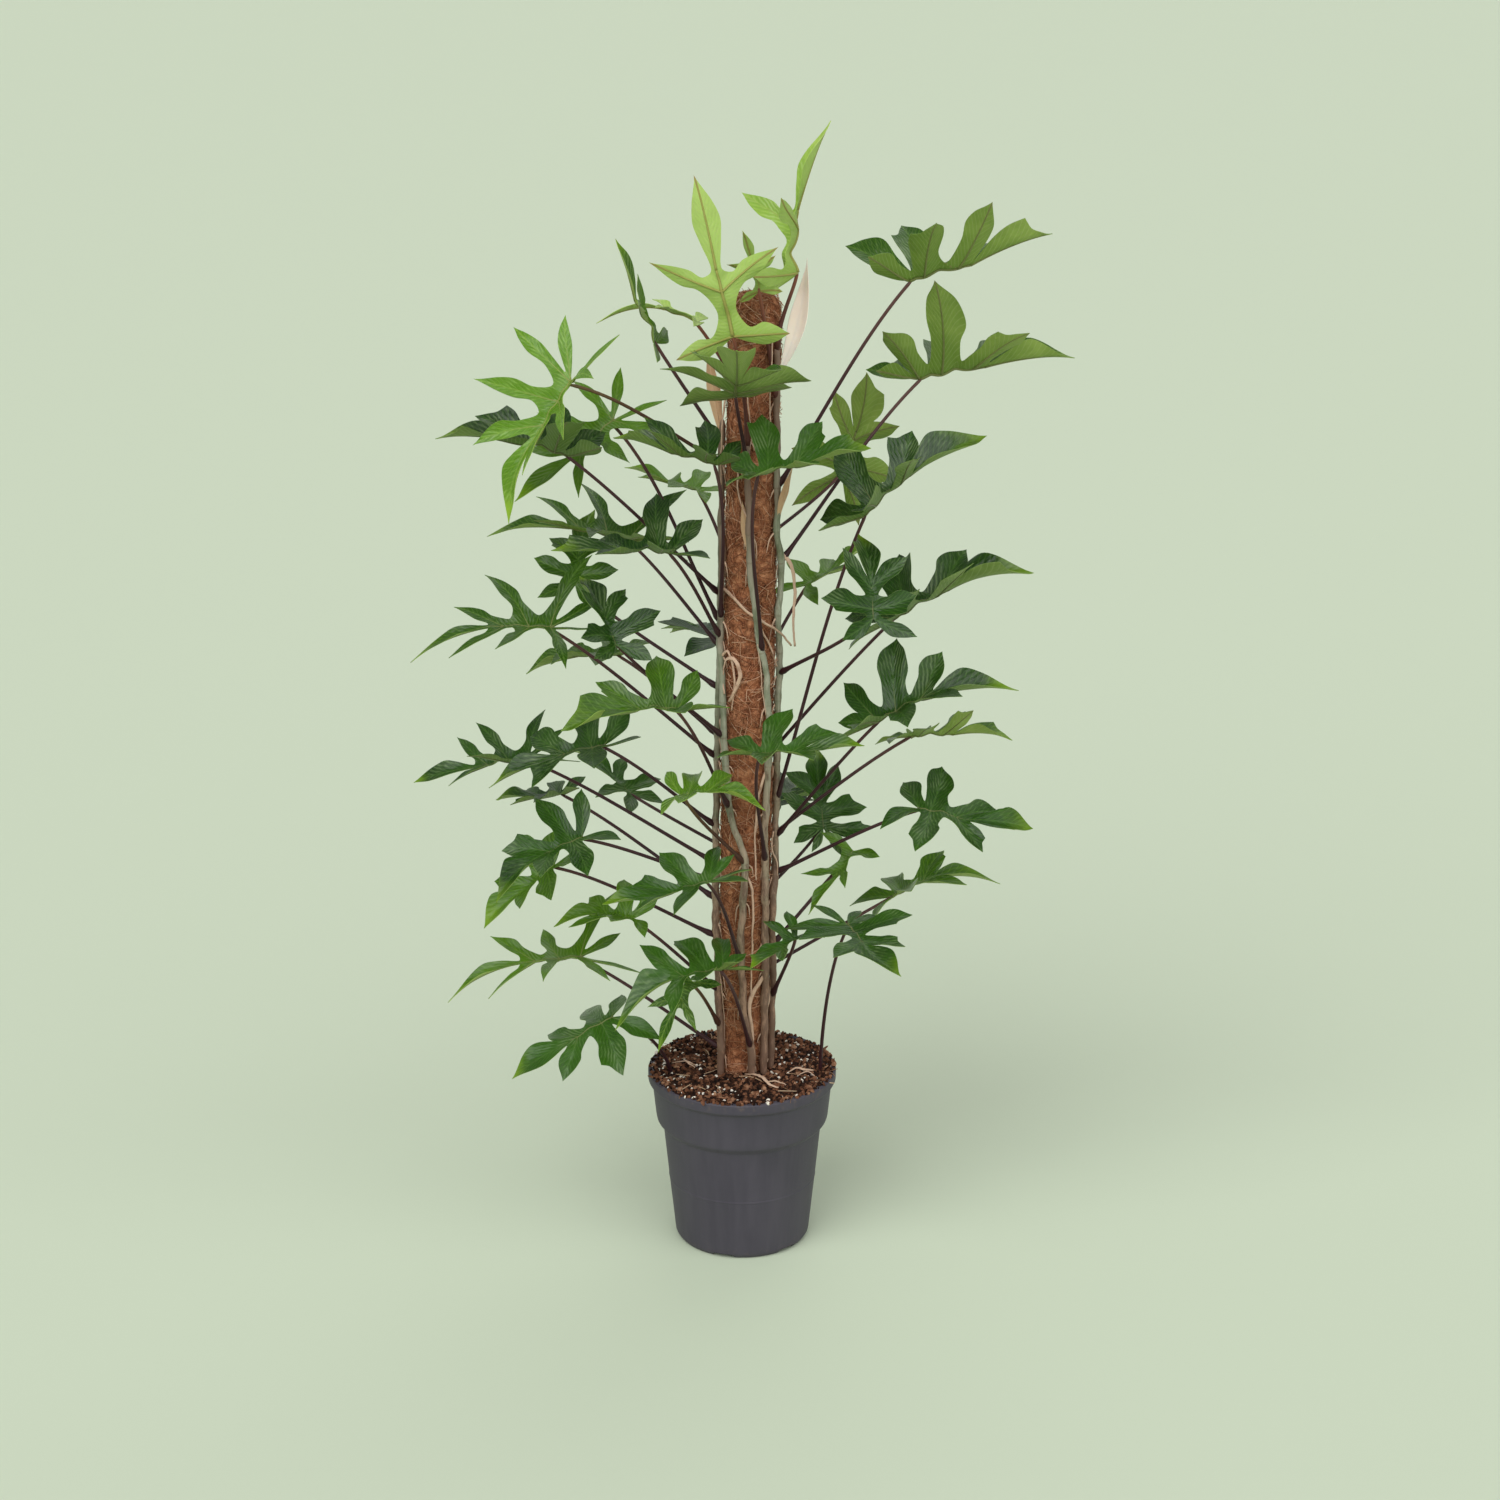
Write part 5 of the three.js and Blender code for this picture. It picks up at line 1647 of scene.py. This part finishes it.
class Scatter(Web):
    """A Geometry Nodes tree that strews small shapes over a surface."""

    def __init__(self, name: str, shape: Strewn, material: Material) -> None:
        """Writes the tree.

        Args:
            name: The tree's name.
            shape: What is strewn.
            material: Its material.
        """
        super().__init__(bpy.data.node_groups.new(name, "GeometryNodeTree"))
        self.inputs: dict[str, str] = {}
        self.tree.interface.new_socket("Surface", in_out="INPUT", socket_type="NodeSocketGeometry")
        for label, kind in (("Density", "Float"), ("Smallest", "Float"), ("Largest", "Float"),
                            ("Tilt", "Float"), ("Seed", "Int")):
            made = self.tree.interface.new_socket(label, in_out="INPUT", socket_type=f"NodeSocket{kind}")
            self.inputs[label] = made.identifier
        self.tree.interface.new_socket("Pieces", in_out="OUTPUT", socket_type="NodeSocketGeometry")
        given = self.node("NodeGroupInput").outputs
        seed = given["Seed"]
        strewn = self.node(
            "GeometryNodeDistributePointsOnFaces", {"distribute_method": "RANDOM"},
            {"Mesh": given["Surface"], "Density": given["Density"], "Seed": seed},
        )
        tilt = self.node("ShaderNodeCombineXYZ", None, {0: given["Tilt"], 1: given["Tilt"], 2: math.pi})
        untilt = self.node(
            "ShaderNodeVectorMath", {"operation": "SCALE"}, {0: tilt.outputs[0], "Scale": -1.0}
        )
        turn = self.node(
            "FunctionNodeRandomValue", {"data_type": "FLOAT_VECTOR"},
            {0: untilt.outputs[0], 1: tilt.outputs[0], "Seed": seed},
        )
        local = self.node("FunctionNodeEulerToRotation", None, {0: turn.outputs[0]})
        held = self.node(
            "FunctionNodeRotateRotation", {"rotation_space": "LOCAL"},
            {0: strewn.outputs["Rotation"], 1: local.outputs[0]},
        )
        size = self.node(
            "FunctionNodeRandomValue", {"data_type": "FLOAT"},
            {2: given["Smallest"], 3: given["Largest"], "Seed": seed},
        )
        laid = self.node(
            "GeometryNodeInstanceOnPoints", None,
            {"Points": strewn.outputs["Points"], "Instance": shape.write(self), "Rotation": held.outputs[0],
             "Scale": size.outputs[1]},
        )
        tone = self.node("FunctionNodeRandomValue", {"data_type": "FLOAT"}, {2: 0.0, 3: 1.0, "Seed": seed})
        marked = self.node(
            "GeometryNodeStoreNamedAttribute", {"data_type": "FLOAT", "domain": "INSTANCE"},
            {"Geometry": laid.outputs[0], "Name": "tone", "Value": tone.outputs[1]},
        )
        real = self.node("GeometryNodeRealizeInstances", None, {0: marked.outputs[0]})
        dressed = self.node(
            "GeometryNodeSetMaterial", None, {"Geometry": real.outputs[0], "Material": material}
        )
        self.node("NodeGroupOutput", None, {0: dressed.outputs[0]})


@dataclass(frozen=True)
class Layer:
    """One kind of loose piece: its shape, number to the square metre, sizes in metres, tilt and seed."""

    name: str
    shape: Strewn
    density: float
    smallest: float
    largest: float
    tilt: float
    seed: int

    def strew(self, surface: Object, material: Material) -> Object:
        """Strews the shapes and makes them one plain mesh.

        Args:
            surface: What they lie on.
            material: Their material.

        Returns:
            The piece.
        """
        scatter = Scatter(self.name, self.shape, material)
        modifier = surface.modifiers.new(self.name, "NODES")
        modifier.node_group = scatter.tree
        for label, socket in scatter.inputs.items():
            modifier[socket] = getattr(self, label.lower())
        mesh = applied(surface, modifier)
        mesh.name = self.name
        return placed(self.name, mesh)


@dataclass(frozen=True)
class Grain:
    """A lumpy grain, stretched along its axes."""

    stretch: Triple
    lumps: float
    detail: int = 2

    def write(self, web: Web) -> NodeSocket:
        """Adds a round grain, pushed about by noise and stretched."""
        ball = web.node("GeometryNodeMeshIcoSphere", None, {"Radius": 1.0, "Subdivisions": self.detail})
        wave = web.node("ShaderNodeTexNoise", None, {"Scale": 1.3, "Detail": 1.0}).outputs[1]
        level = web.node("ShaderNodeVectorMath", {"operation": "SUBTRACT"}, {0: wave, 1: (0.5,) * 3})
        level = level.outputs[0]
        push = web.node("ShaderNodeVectorMath", {"operation": "SCALE"}, {0: level, "Scale": self.lumps})
        shaped = web.node("GeometryNodeSetPosition", None, {0: ball.outputs[0], "Offset": push.outputs[0]})
        shaped = web.node("GeometryNodeTransform", None, {0: shaped.outputs[0], "Scale": self.stretch})
        return shaped.outputs[0]


@dataclass(frozen=True)
class Strand:
    """A thin bent strand of length 1, lying along its x axis."""

    thickness: float
    bow: float
    arch: float
    steps: int = 5

    def write(self, web: Web) -> NodeSocket:
        """Adds a bent line with a three-sided section."""
        line = web.node(
            "GeometryNodeCurveQuadraticBezier", None,
            {"Resolution": self.steps, "Start": (-0.5, 0, 0), "Middle": (0, self.bow, self.arch),
             "End": (0.5, 0, 0)},
        )
        ring = web.node(
            "GeometryNodeCurvePrimitiveCircle", None, {"Resolution": 3, "Radius": self.thickness}
        )
        inputs = {0: line.outputs[0], 1: ring.outputs[0], "Fill Caps": True}
        return web.node("GeometryNodeCurveToMesh", None, inputs).outputs[0]


@dataclass(frozen=True)
class CoirPole:
    """The fibre sleeve, with its rounded head, and the loose fibres that stand out of it."""

    sides: int = 96
    ring_gap: float = 3.2
    inset: float = 0.6
    head_height: float = 16.0
    head: tuple[Pair, ...] = ((25, 14), (23.8, 9), (21.2, 5), (17, 2.6), (12, 1.2), (6, 0.4), (0, 0))
    lumps: tuple[tuple[float, float, int], ...] = ((0.9, 26, 4), (0.5, 7, 3))
    fibres: tuple[Layer, ...] = (
        Layer("coir_fibres_long", Strand(0.014, 0.16, 0.05), 34000.0, 0.014, 0.03, 0.1, 4),
        Layer("coir_fibres_short", Strand(0.026, -0.12, 0.24), 17000.0, 0.007, 0.016, 0.5, 9),
    )

    def build(self, mat: CoirMat) -> Object:
        """Builds the sleeve: a bar with a rounded head, whose mat bulges and pulls in a little.

        Args:
            mat: Its finish.

        Returns:
            The piece.
        """
        heights = np.arange(POLE.bottom, POLE.top - self.head_height, self.ring_gap)
        profile = [(0.0, POLE.bottom)] + [(POLE.radius - self.inset, h) for h in heights]
        profile += [(radius, POLE.top - depth) for radius, depth in self.head]
        points, faces = turned(profile, self.sides)
        radius = np.hypot(points[:, 0], points[:, 1])
        for i, (point, distance) in enumerate(zip(points, radius)):
            if distance > 1:
                swell = sum(high * bumpiness(point, scale, octaves) for high, scale, octaves in self.lumps)
                points[i, :2] *= 1 + swell / distance
        draft = Draft()
        draft.add(POLE.lean_points(points), faces)
        return draft.finish("coir_mat", mat.material())

    def build_fibres(self, sleeve: Object, mat: CoirMat) -> list[Object]:
        """Strews loose fibres over the sleeve, in two lengths.

        Args:
            sleeve: The sleeve.
            mat: Its finish.

        Returns:
            The pieces.
        """
        skin = mat.fibre_material()
        return [layer.strew(sleeve, skin) for layer in self.fibres]


@dataclass(frozen=True)
class NurseryPot:
    """The moulded pot: foot ring, tapered wall, step, wide collar and rolled lip."""

    sides: int = 160
    wall: float = 2.0
    floor_top: float = 6.5
    recess: float = 4.0
    corner: float = 1.6
    dish: Pair = (26.0, 29.0)
    foot_ring: Triple = (59.0, 62.0, 69.0)
    base_radius: float = 72.8
    base_height: float = 5.0
    bead: tuple[Pair, ...] = ((79.4, 68.6), (79.9, 69.4), (79.9, 70.6), (79.7, 71.6))
    step: Pair = (85.6, 131.0)
    collar: Pair = (93.2, 143.0)
    collar_top: Pair = (97.0, 180.0)
    lip_radius: float = 101.5
    lip_foot: float = 183.5
    lip_bevel: float = 1.5
    height: float = 195.0
    drains: int = 8
    drain_circle: float = 47.0
    drain_radius: float = 5.0
    drain_reach: Pair = (-3.0, 12.0)
    drain_sides: int = 24
    notches: int = 6
    notch_first: float = -107.0
    notch_width: float = 20.0
    notch_height: float = 4.5
    notch_from: float = 60.0
    notch_slope: float = 1.5

    def inside(self, clearance: float = 0.0) -> list[Pair]:
        """The inner wall from the floor to the lip, pulled in by a clearance."""
        inset = self.wall + clearance
        return [
            (self.base_radius - inset - 3, self.floor_top + clearance),
            (self.base_radius - inset + 0.4, self.floor_top + clearance + 4),
            (self.step[0] - inset, self.step[1]),
            (self.collar[0] - inset, self.collar[1]),
            (self.collar_top[0] - inset, self.height),
        ]

    def outside(self) -> list[Pair]:
        """The outer face from the middle of the underside to the lip's inner edge."""
        inner, middle, outer = self.foot_ring
        return [
            (0.0, 0.0), (self.dish[0], 0.0), (self.dish[1], self.recess), (inner, self.recess),
            (middle, 0.0), (outer, 0.0), (self.base_radius, self.base_height), *self.bead, self.step,
            (self.collar[0] - 1, self.collar[1] - 5), self.collar, self.collar_top,
            (self.lip_radius, self.lip_foot), (self.lip_radius, self.height - self.lip_bevel),
            (self.lip_radius - self.lip_bevel, self.height),
        ]

    def build(self, plastic: Material) -> Object:
        """Builds the pot, with notches in its foot and drain holes in its floor.

        Args:
            plastic: Its material.

        Returns:
            The piece.
        """
        profile = self.outside() + self.inside()[::-1] + [(0.0, self.floor_top)]
        points, faces = turned(rounded(profile, self.corner), self.sides)
        self._notch(points)
        draft = Draft()
        draft.add(points, faces)
        piece = draft.finish("nursery_pot", plastic)
        axis = np.array([(0.0, 0.0, height) for height in self.drain_reach])
        bar, sides = rod(axis, np.full(2, self.drain_radius), self.drain_sides)
        for i in range(self.drains):
            turn = 2 * math.pi * i / self.drains
            away = (self.drain_circle * math.cos(turn), self.drain_circle * math.sin(turn), 0.0)
            cutter = Draft()
            cutter.add(bar + away, sides)
            self._cut(piece, cutter.finish("drain_cutter", plastic))
        return piece

    def _notch(self, points: np.ndarray) -> None:
        """Raises the foot's lower edge where the notches are."""
        angles = np.degrees(np.arctan2(points[:, 1], points[:, 0]))
        radii = np.hypot(points[:, 0], points[:, 1])
        for i in range(self.notches):
            centre = self.notch_first + 360 / self.notches * i
            off = (angles - centre + 180) % 360 - 180
            half = math.degrees(self.notch_width / 2 / self.base_radius)
            share = np.clip((half + 1 - np.abs(off)) / self.notch_slope, 0, 1)
            foot = (radii > self.notch_from) & (points[:, 2] < self.notch_height)
            points[foot, 2] += (self.notch_height - points[foot, 2]) * share[foot]

    @staticmethod
    def _cut(piece: Object, cutter: Object) -> None:
        """Cuts one object out of another and removes it."""
        modifier = piece.modifiers.new("cut", "BOOLEAN")
        modifier.operation = "DIFFERENCE"
        modifier.solver = "EXACT"
        modifier.object = cutter
        piece.data = applied(piece, modifier)
        bpy.data.objects.remove(cutter)


@dataclass(frozen=True)
class SoilBed:
    """Potting mix to the lip, with crumbs, perlite, bark and dry roots on its surface."""

    pot: NurseryPot
    edge: float = 193.0
    crown: float = 199.0
    sides: int = 120
    ring_gap: float = 2.2
    wall_gap: float = 0.3
    rim_gap: float = 0.1
    rim_width: float = 0.5
    mound: float = 4.5
    brim: float = 94.0
    brim_ease: float = 10.0
    waves: tuple[Pair, Pair] = ((0.11, 1.0), (0.13, -0.5))
    wave_height: float = 1.2
    clods: Pair = (1.5, 16.0)
    crumbs: Pair = (0.8, 5.0)
    settled: float = 0.8
    pole_hole: float = 24.0
    cover_gap: float = 4.0
    cover_turns: int = 60
    cover_sunk: float = 0.4
    scrap_thinness: float = 0.3
    scrap_step: float = 2.5
    scrap_lift: Pair = (0.8, 3.0)
    scrap_end: float = 0.35
    lip_from: float = 94.5
    lip_top: float = 195.2
    spill: float = 100.5

    def surface_height(self, x: float, y: float) -> float:
        """The bed's height at a place: a low mound, rippled and crumbly."""
        radius = math.hypot(x, y)
        fall = self.mound * (radius / self.brim) ** 2
        (across, first), (along, second) = self.waves
        swell = math.sin(x * across + first) + math.cos(y * along + second)
        ease = min(1.0, max(0.0, (self.brim - radius) / self.brim_ease))
        rough = self.clods[0] * bumpiness((x, y, 5), self.clods[1], 4)
        rough += self.crumbs[0] * bumpiness((x, y, 31), self.crumbs[1], 3)
        return self.crown - fall + self.wave_height * swell * ease + rough - self.settled

    def build(self, mix: PottingMix) -> Object:
        """Builds the bed: a plug that fills the pot, rough on top.

        Args:
            mix: Its finish.

        Returns:
            The piece.
        """
        wall = self.pot.inside(self.wall_gap)
        wall[-1] = (wall[-1][0] - self.rim_gap, self.edge - 1)
        rim = wall[-1][0] - self.rim_width
        radii = np.append(np.arange(rim, 2.0, -self.ring_gap), 0.0)
        profile = [(0.0, wall[0][1])] + wall + [(float(r), self.edge) for r in radii]
        points, faces = turned(profile, self.sides)
        for i, (x, y, z) in enumerate(points):
            if z == self.edge:
                points[i, 2] = self.surface_height(x, y)
        draft = Draft()
        draft.add(points, faces)
        return draft.finish("soil_bed", mix.bed_material())

    def cover(self) -> Object:
        """A sheet from the pole over the lip, for the loose pieces to be strewn on."""
        count = self.cover_turns
        radii = np.arange(self.pole_hole, self.spill, self.cover_gap)
        turns = np.linspace(0, 2 * math.pi, count, endpoint=False)
        points = []
        for radius in radii:
            for turn in turns:
                x, y = radius * math.cos(turn), radius * math.sin(turn)
                height = self.surface_height(x, y) - self.cover_sunk
                points.append((x, y, max(height, self.lip_top) if radius > self.lip_from else height))
        faces = []
        for i in range(len(radii) - 1):
            for k in range(count):
                a, b = i * count + k, i * count + (k + 1) % count
                faces.append((a, a + count, b + count, b))
        draft = Draft()
        draft.add(np.array(points), faces)
        return draft.finish("soil_cover")

    def build_loose(self, mix: PottingMix) -> list[Object]:
        """Strews crumbs, bark, perlite and dry roots over the bed.

        Args:
            mix: Their finish.

        Returns:
            The pieces.
        """
        cover = self.cover()
        crumb = mix.crumb_material()
        layers = (
            (Layer("soil_crumbs", Grain((1, 0.8, 0.7), 0.9, 1), 110000.0, 0.0008, 0.003, 1.5, 3), crumb),
            (Layer("soil_clods", Grain((1, 0.75, 0.6), 1.0), 11000.0, 0.002, 0.0044, 1.5, 8), crumb),
            (Layer("soil_bark", Grain((1, 0.3, 0.16), 0.5), 7000.0, 0.003, 0.0075, 0.7, 5), crumb),
            (Layer("soil_perlite", Grain((1, 0.85, 0.8), 0.7), 8000.0, 0.001, 0.0027, 1.5, 6),
             mix.perlite_material()),
            (Layer("soil_strands", Strand(0.02, 0.22, 0.1), 2200.0, 0.012, 0.034, 0.25, 7),
             mix.strand_material()),
        )
        pieces = [layer.strew(cover, material) for layer, material in layers]
        bpy.data.objects.remove(cover)
        return pieces

    def build_scraps(self, skin: Material) -> Object:
        """Lays the dry scraps on the bed.

        Args:
            skin: Their material.

        Returns:
            The piece.
        """
        draft = Draft()
        for half_width, route in SOIL_SCRAPS:
            flat = smooth_line(route, self.scrap_step)
            arch = np.sin(np.linspace(0.2, math.pi - 0.2, len(flat)))
            low, rise = self.scrap_lift
            heights = [self.surface_height(x, y) + low for x, y in flat]
            line = np.column_stack([flat, np.array(heights) + rise * arch])
            radii = half_width * (self.scrap_end + (1 - self.scrap_end) * arch) * self.scrap_thinness
            draft.add(*rod(line, radii, 8, 1 / self.scrap_thinness))
        return draft.finish("soil_scraps", skin)


@dataclass(frozen=True)
class Plant:
    """Everything that grows: stems, aerial roots, sheaths and leaves."""

    def build(self, root: Material) -> None:
        """Builds the plant and seats its pieces.

        Args:
            root: The aerial roots' material.
        """
        bark = StemBark().material()
        pink, tan = SHEATH_NEW.material(), SHEATH_OLD.material()
        stems = {name: Stem(name) for name in STEM_ROUTES}
        for name, stem in stems.items():
            seat(stem.build(bark), "stem", f"stem_{name}")
            seat(stem.build_roots(root), "stem")
        for i, (name, node, heading, rise, roll, length, cup) in enumerate(SHEATHS):
            draft = Draft()
            blade = Blade(Form.SHEATH, length, cup, 0, node)
            blade.draft(draft, blade_axes(heading, rise, roll), stems[name].point(node), 0.5)
            seat(draft.finish(f"dry_sheath_{i + 1}", pink if i == 0 else tan), "stem")
        skins = {shade: skin.material() for shade, skin in LEAF_SKINS.items()}
        for i, plan in enumerate(LEAVES):
            seat(Leaf(plan, i + 1).build(stems, skins), plan.shade.value, f"leaf_{plan.name}")


@dataclass(frozen=True)
class Lamp:
    """A very soft light from a direction, its spread in degrees."""

    name: str
    toward: Triple
    spread: float
    power: float

    def hang(self) -> None:
        """Adds the light."""
        data = bpy.data.lights.new(self.name, "SUN")
        data.angle = math.radians(self.spread)
        data.energy = self.power
        placed(self.name, data).rotation_euler = Vector(self.toward).to_track_quat("Z", "Y").to_euler()


@dataclass(frozen=True)
class Studio:
    """Pale floor, soft even light and the camera."""

    camera_place: Triple = (0.0086, -3.0, 1.55)
    camera_dip: float = 18.35
    lens: float = 72.67
    sensor: float = 36.0
    sight: float = 1000.0
    floor_half: float = 300.0
    air: float = 0.3
    lamps: tuple[Lamp, ...] = (
        Lamp("key", (-1.4, -2.1, 2.4), 48.0, 1.8),
        Lamp("fill", (2.0, -2.2, 1.8), 70.0, 1.2),
        Lamp("back", (0.8, 2.6, 2.8), 50.0, 0.4),
    )

    def build(self) -> None:
        """Sets up the floor, the lights, the world and the camera."""
        half = self.floor_half
        mesh = bpy.data.meshes.new("studio_floor")
        mesh.from_pydata([(-half, -half, 0), (half, -half, 0), (half, half, 0), (-half, half, 0)], [],
                         [(0, 1, 2, 3)])
        mesh.materials.append(StudioPaper().material())
        floor = placed("studio_floor", mesh)
        for lamp in self.lamps:
            lamp.hang()
        world = bpy.data.worlds.new("studio_air")
        world.use_nodes = True
        air = world.node_tree.nodes["Background"]
        air.inputs["Color"].default_value = (1, 1, 1, 1)
        air.inputs["Strength"].default_value = self.air
        bpy.context.scene.world = world
        bpy.context.scene.view_settings.view_transform = "Standard"
        data = bpy.data.cameras.new("camera")
        data.lens = self.lens
        data.sensor_width = self.sensor
        data.clip_end = self.sight
        camera = placed("camera", data)
        camera.location = self.camera_place
        camera.rotation_euler = (math.radians(90 - self.camera_dip), 0, 0)
        bpy.context.scene.camera = camera


def main() -> None:
    """Builds every piece in order and reports it."""
    logging.basicConfig(level=logging.INFO, format="%(message)s")
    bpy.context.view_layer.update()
    Studio().build()
    pot = NurseryPot()
    seat(pot.build(PotPlastic().material()), "pot", "pot")
    mix = PottingMix()
    bed = SoilBed(pot)
    seat(bed.build(mix), "soil", "soil")
    for piece in bed.build_loose(mix):
        seat(piece, "soil")
    root = RootSkin().material()
    seat(bed.build_scraps(root), "soil")
    mat = CoirMat()
    pole = CoirPole()
    sleeve = pole.build(mat)
    fibres = pole.build_fibres(sleeve, mat)
    seat(sleeve, "coir", "coir_sleeve")
    for piece in fibres:
        seat(piece, "coir")
    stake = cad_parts["pole_stake"]
    stake.data.materials.clear()
    stake.data.materials.append(StakeWood().material())
    Plant().build(root)


if __name__ == "__main__":
    main()
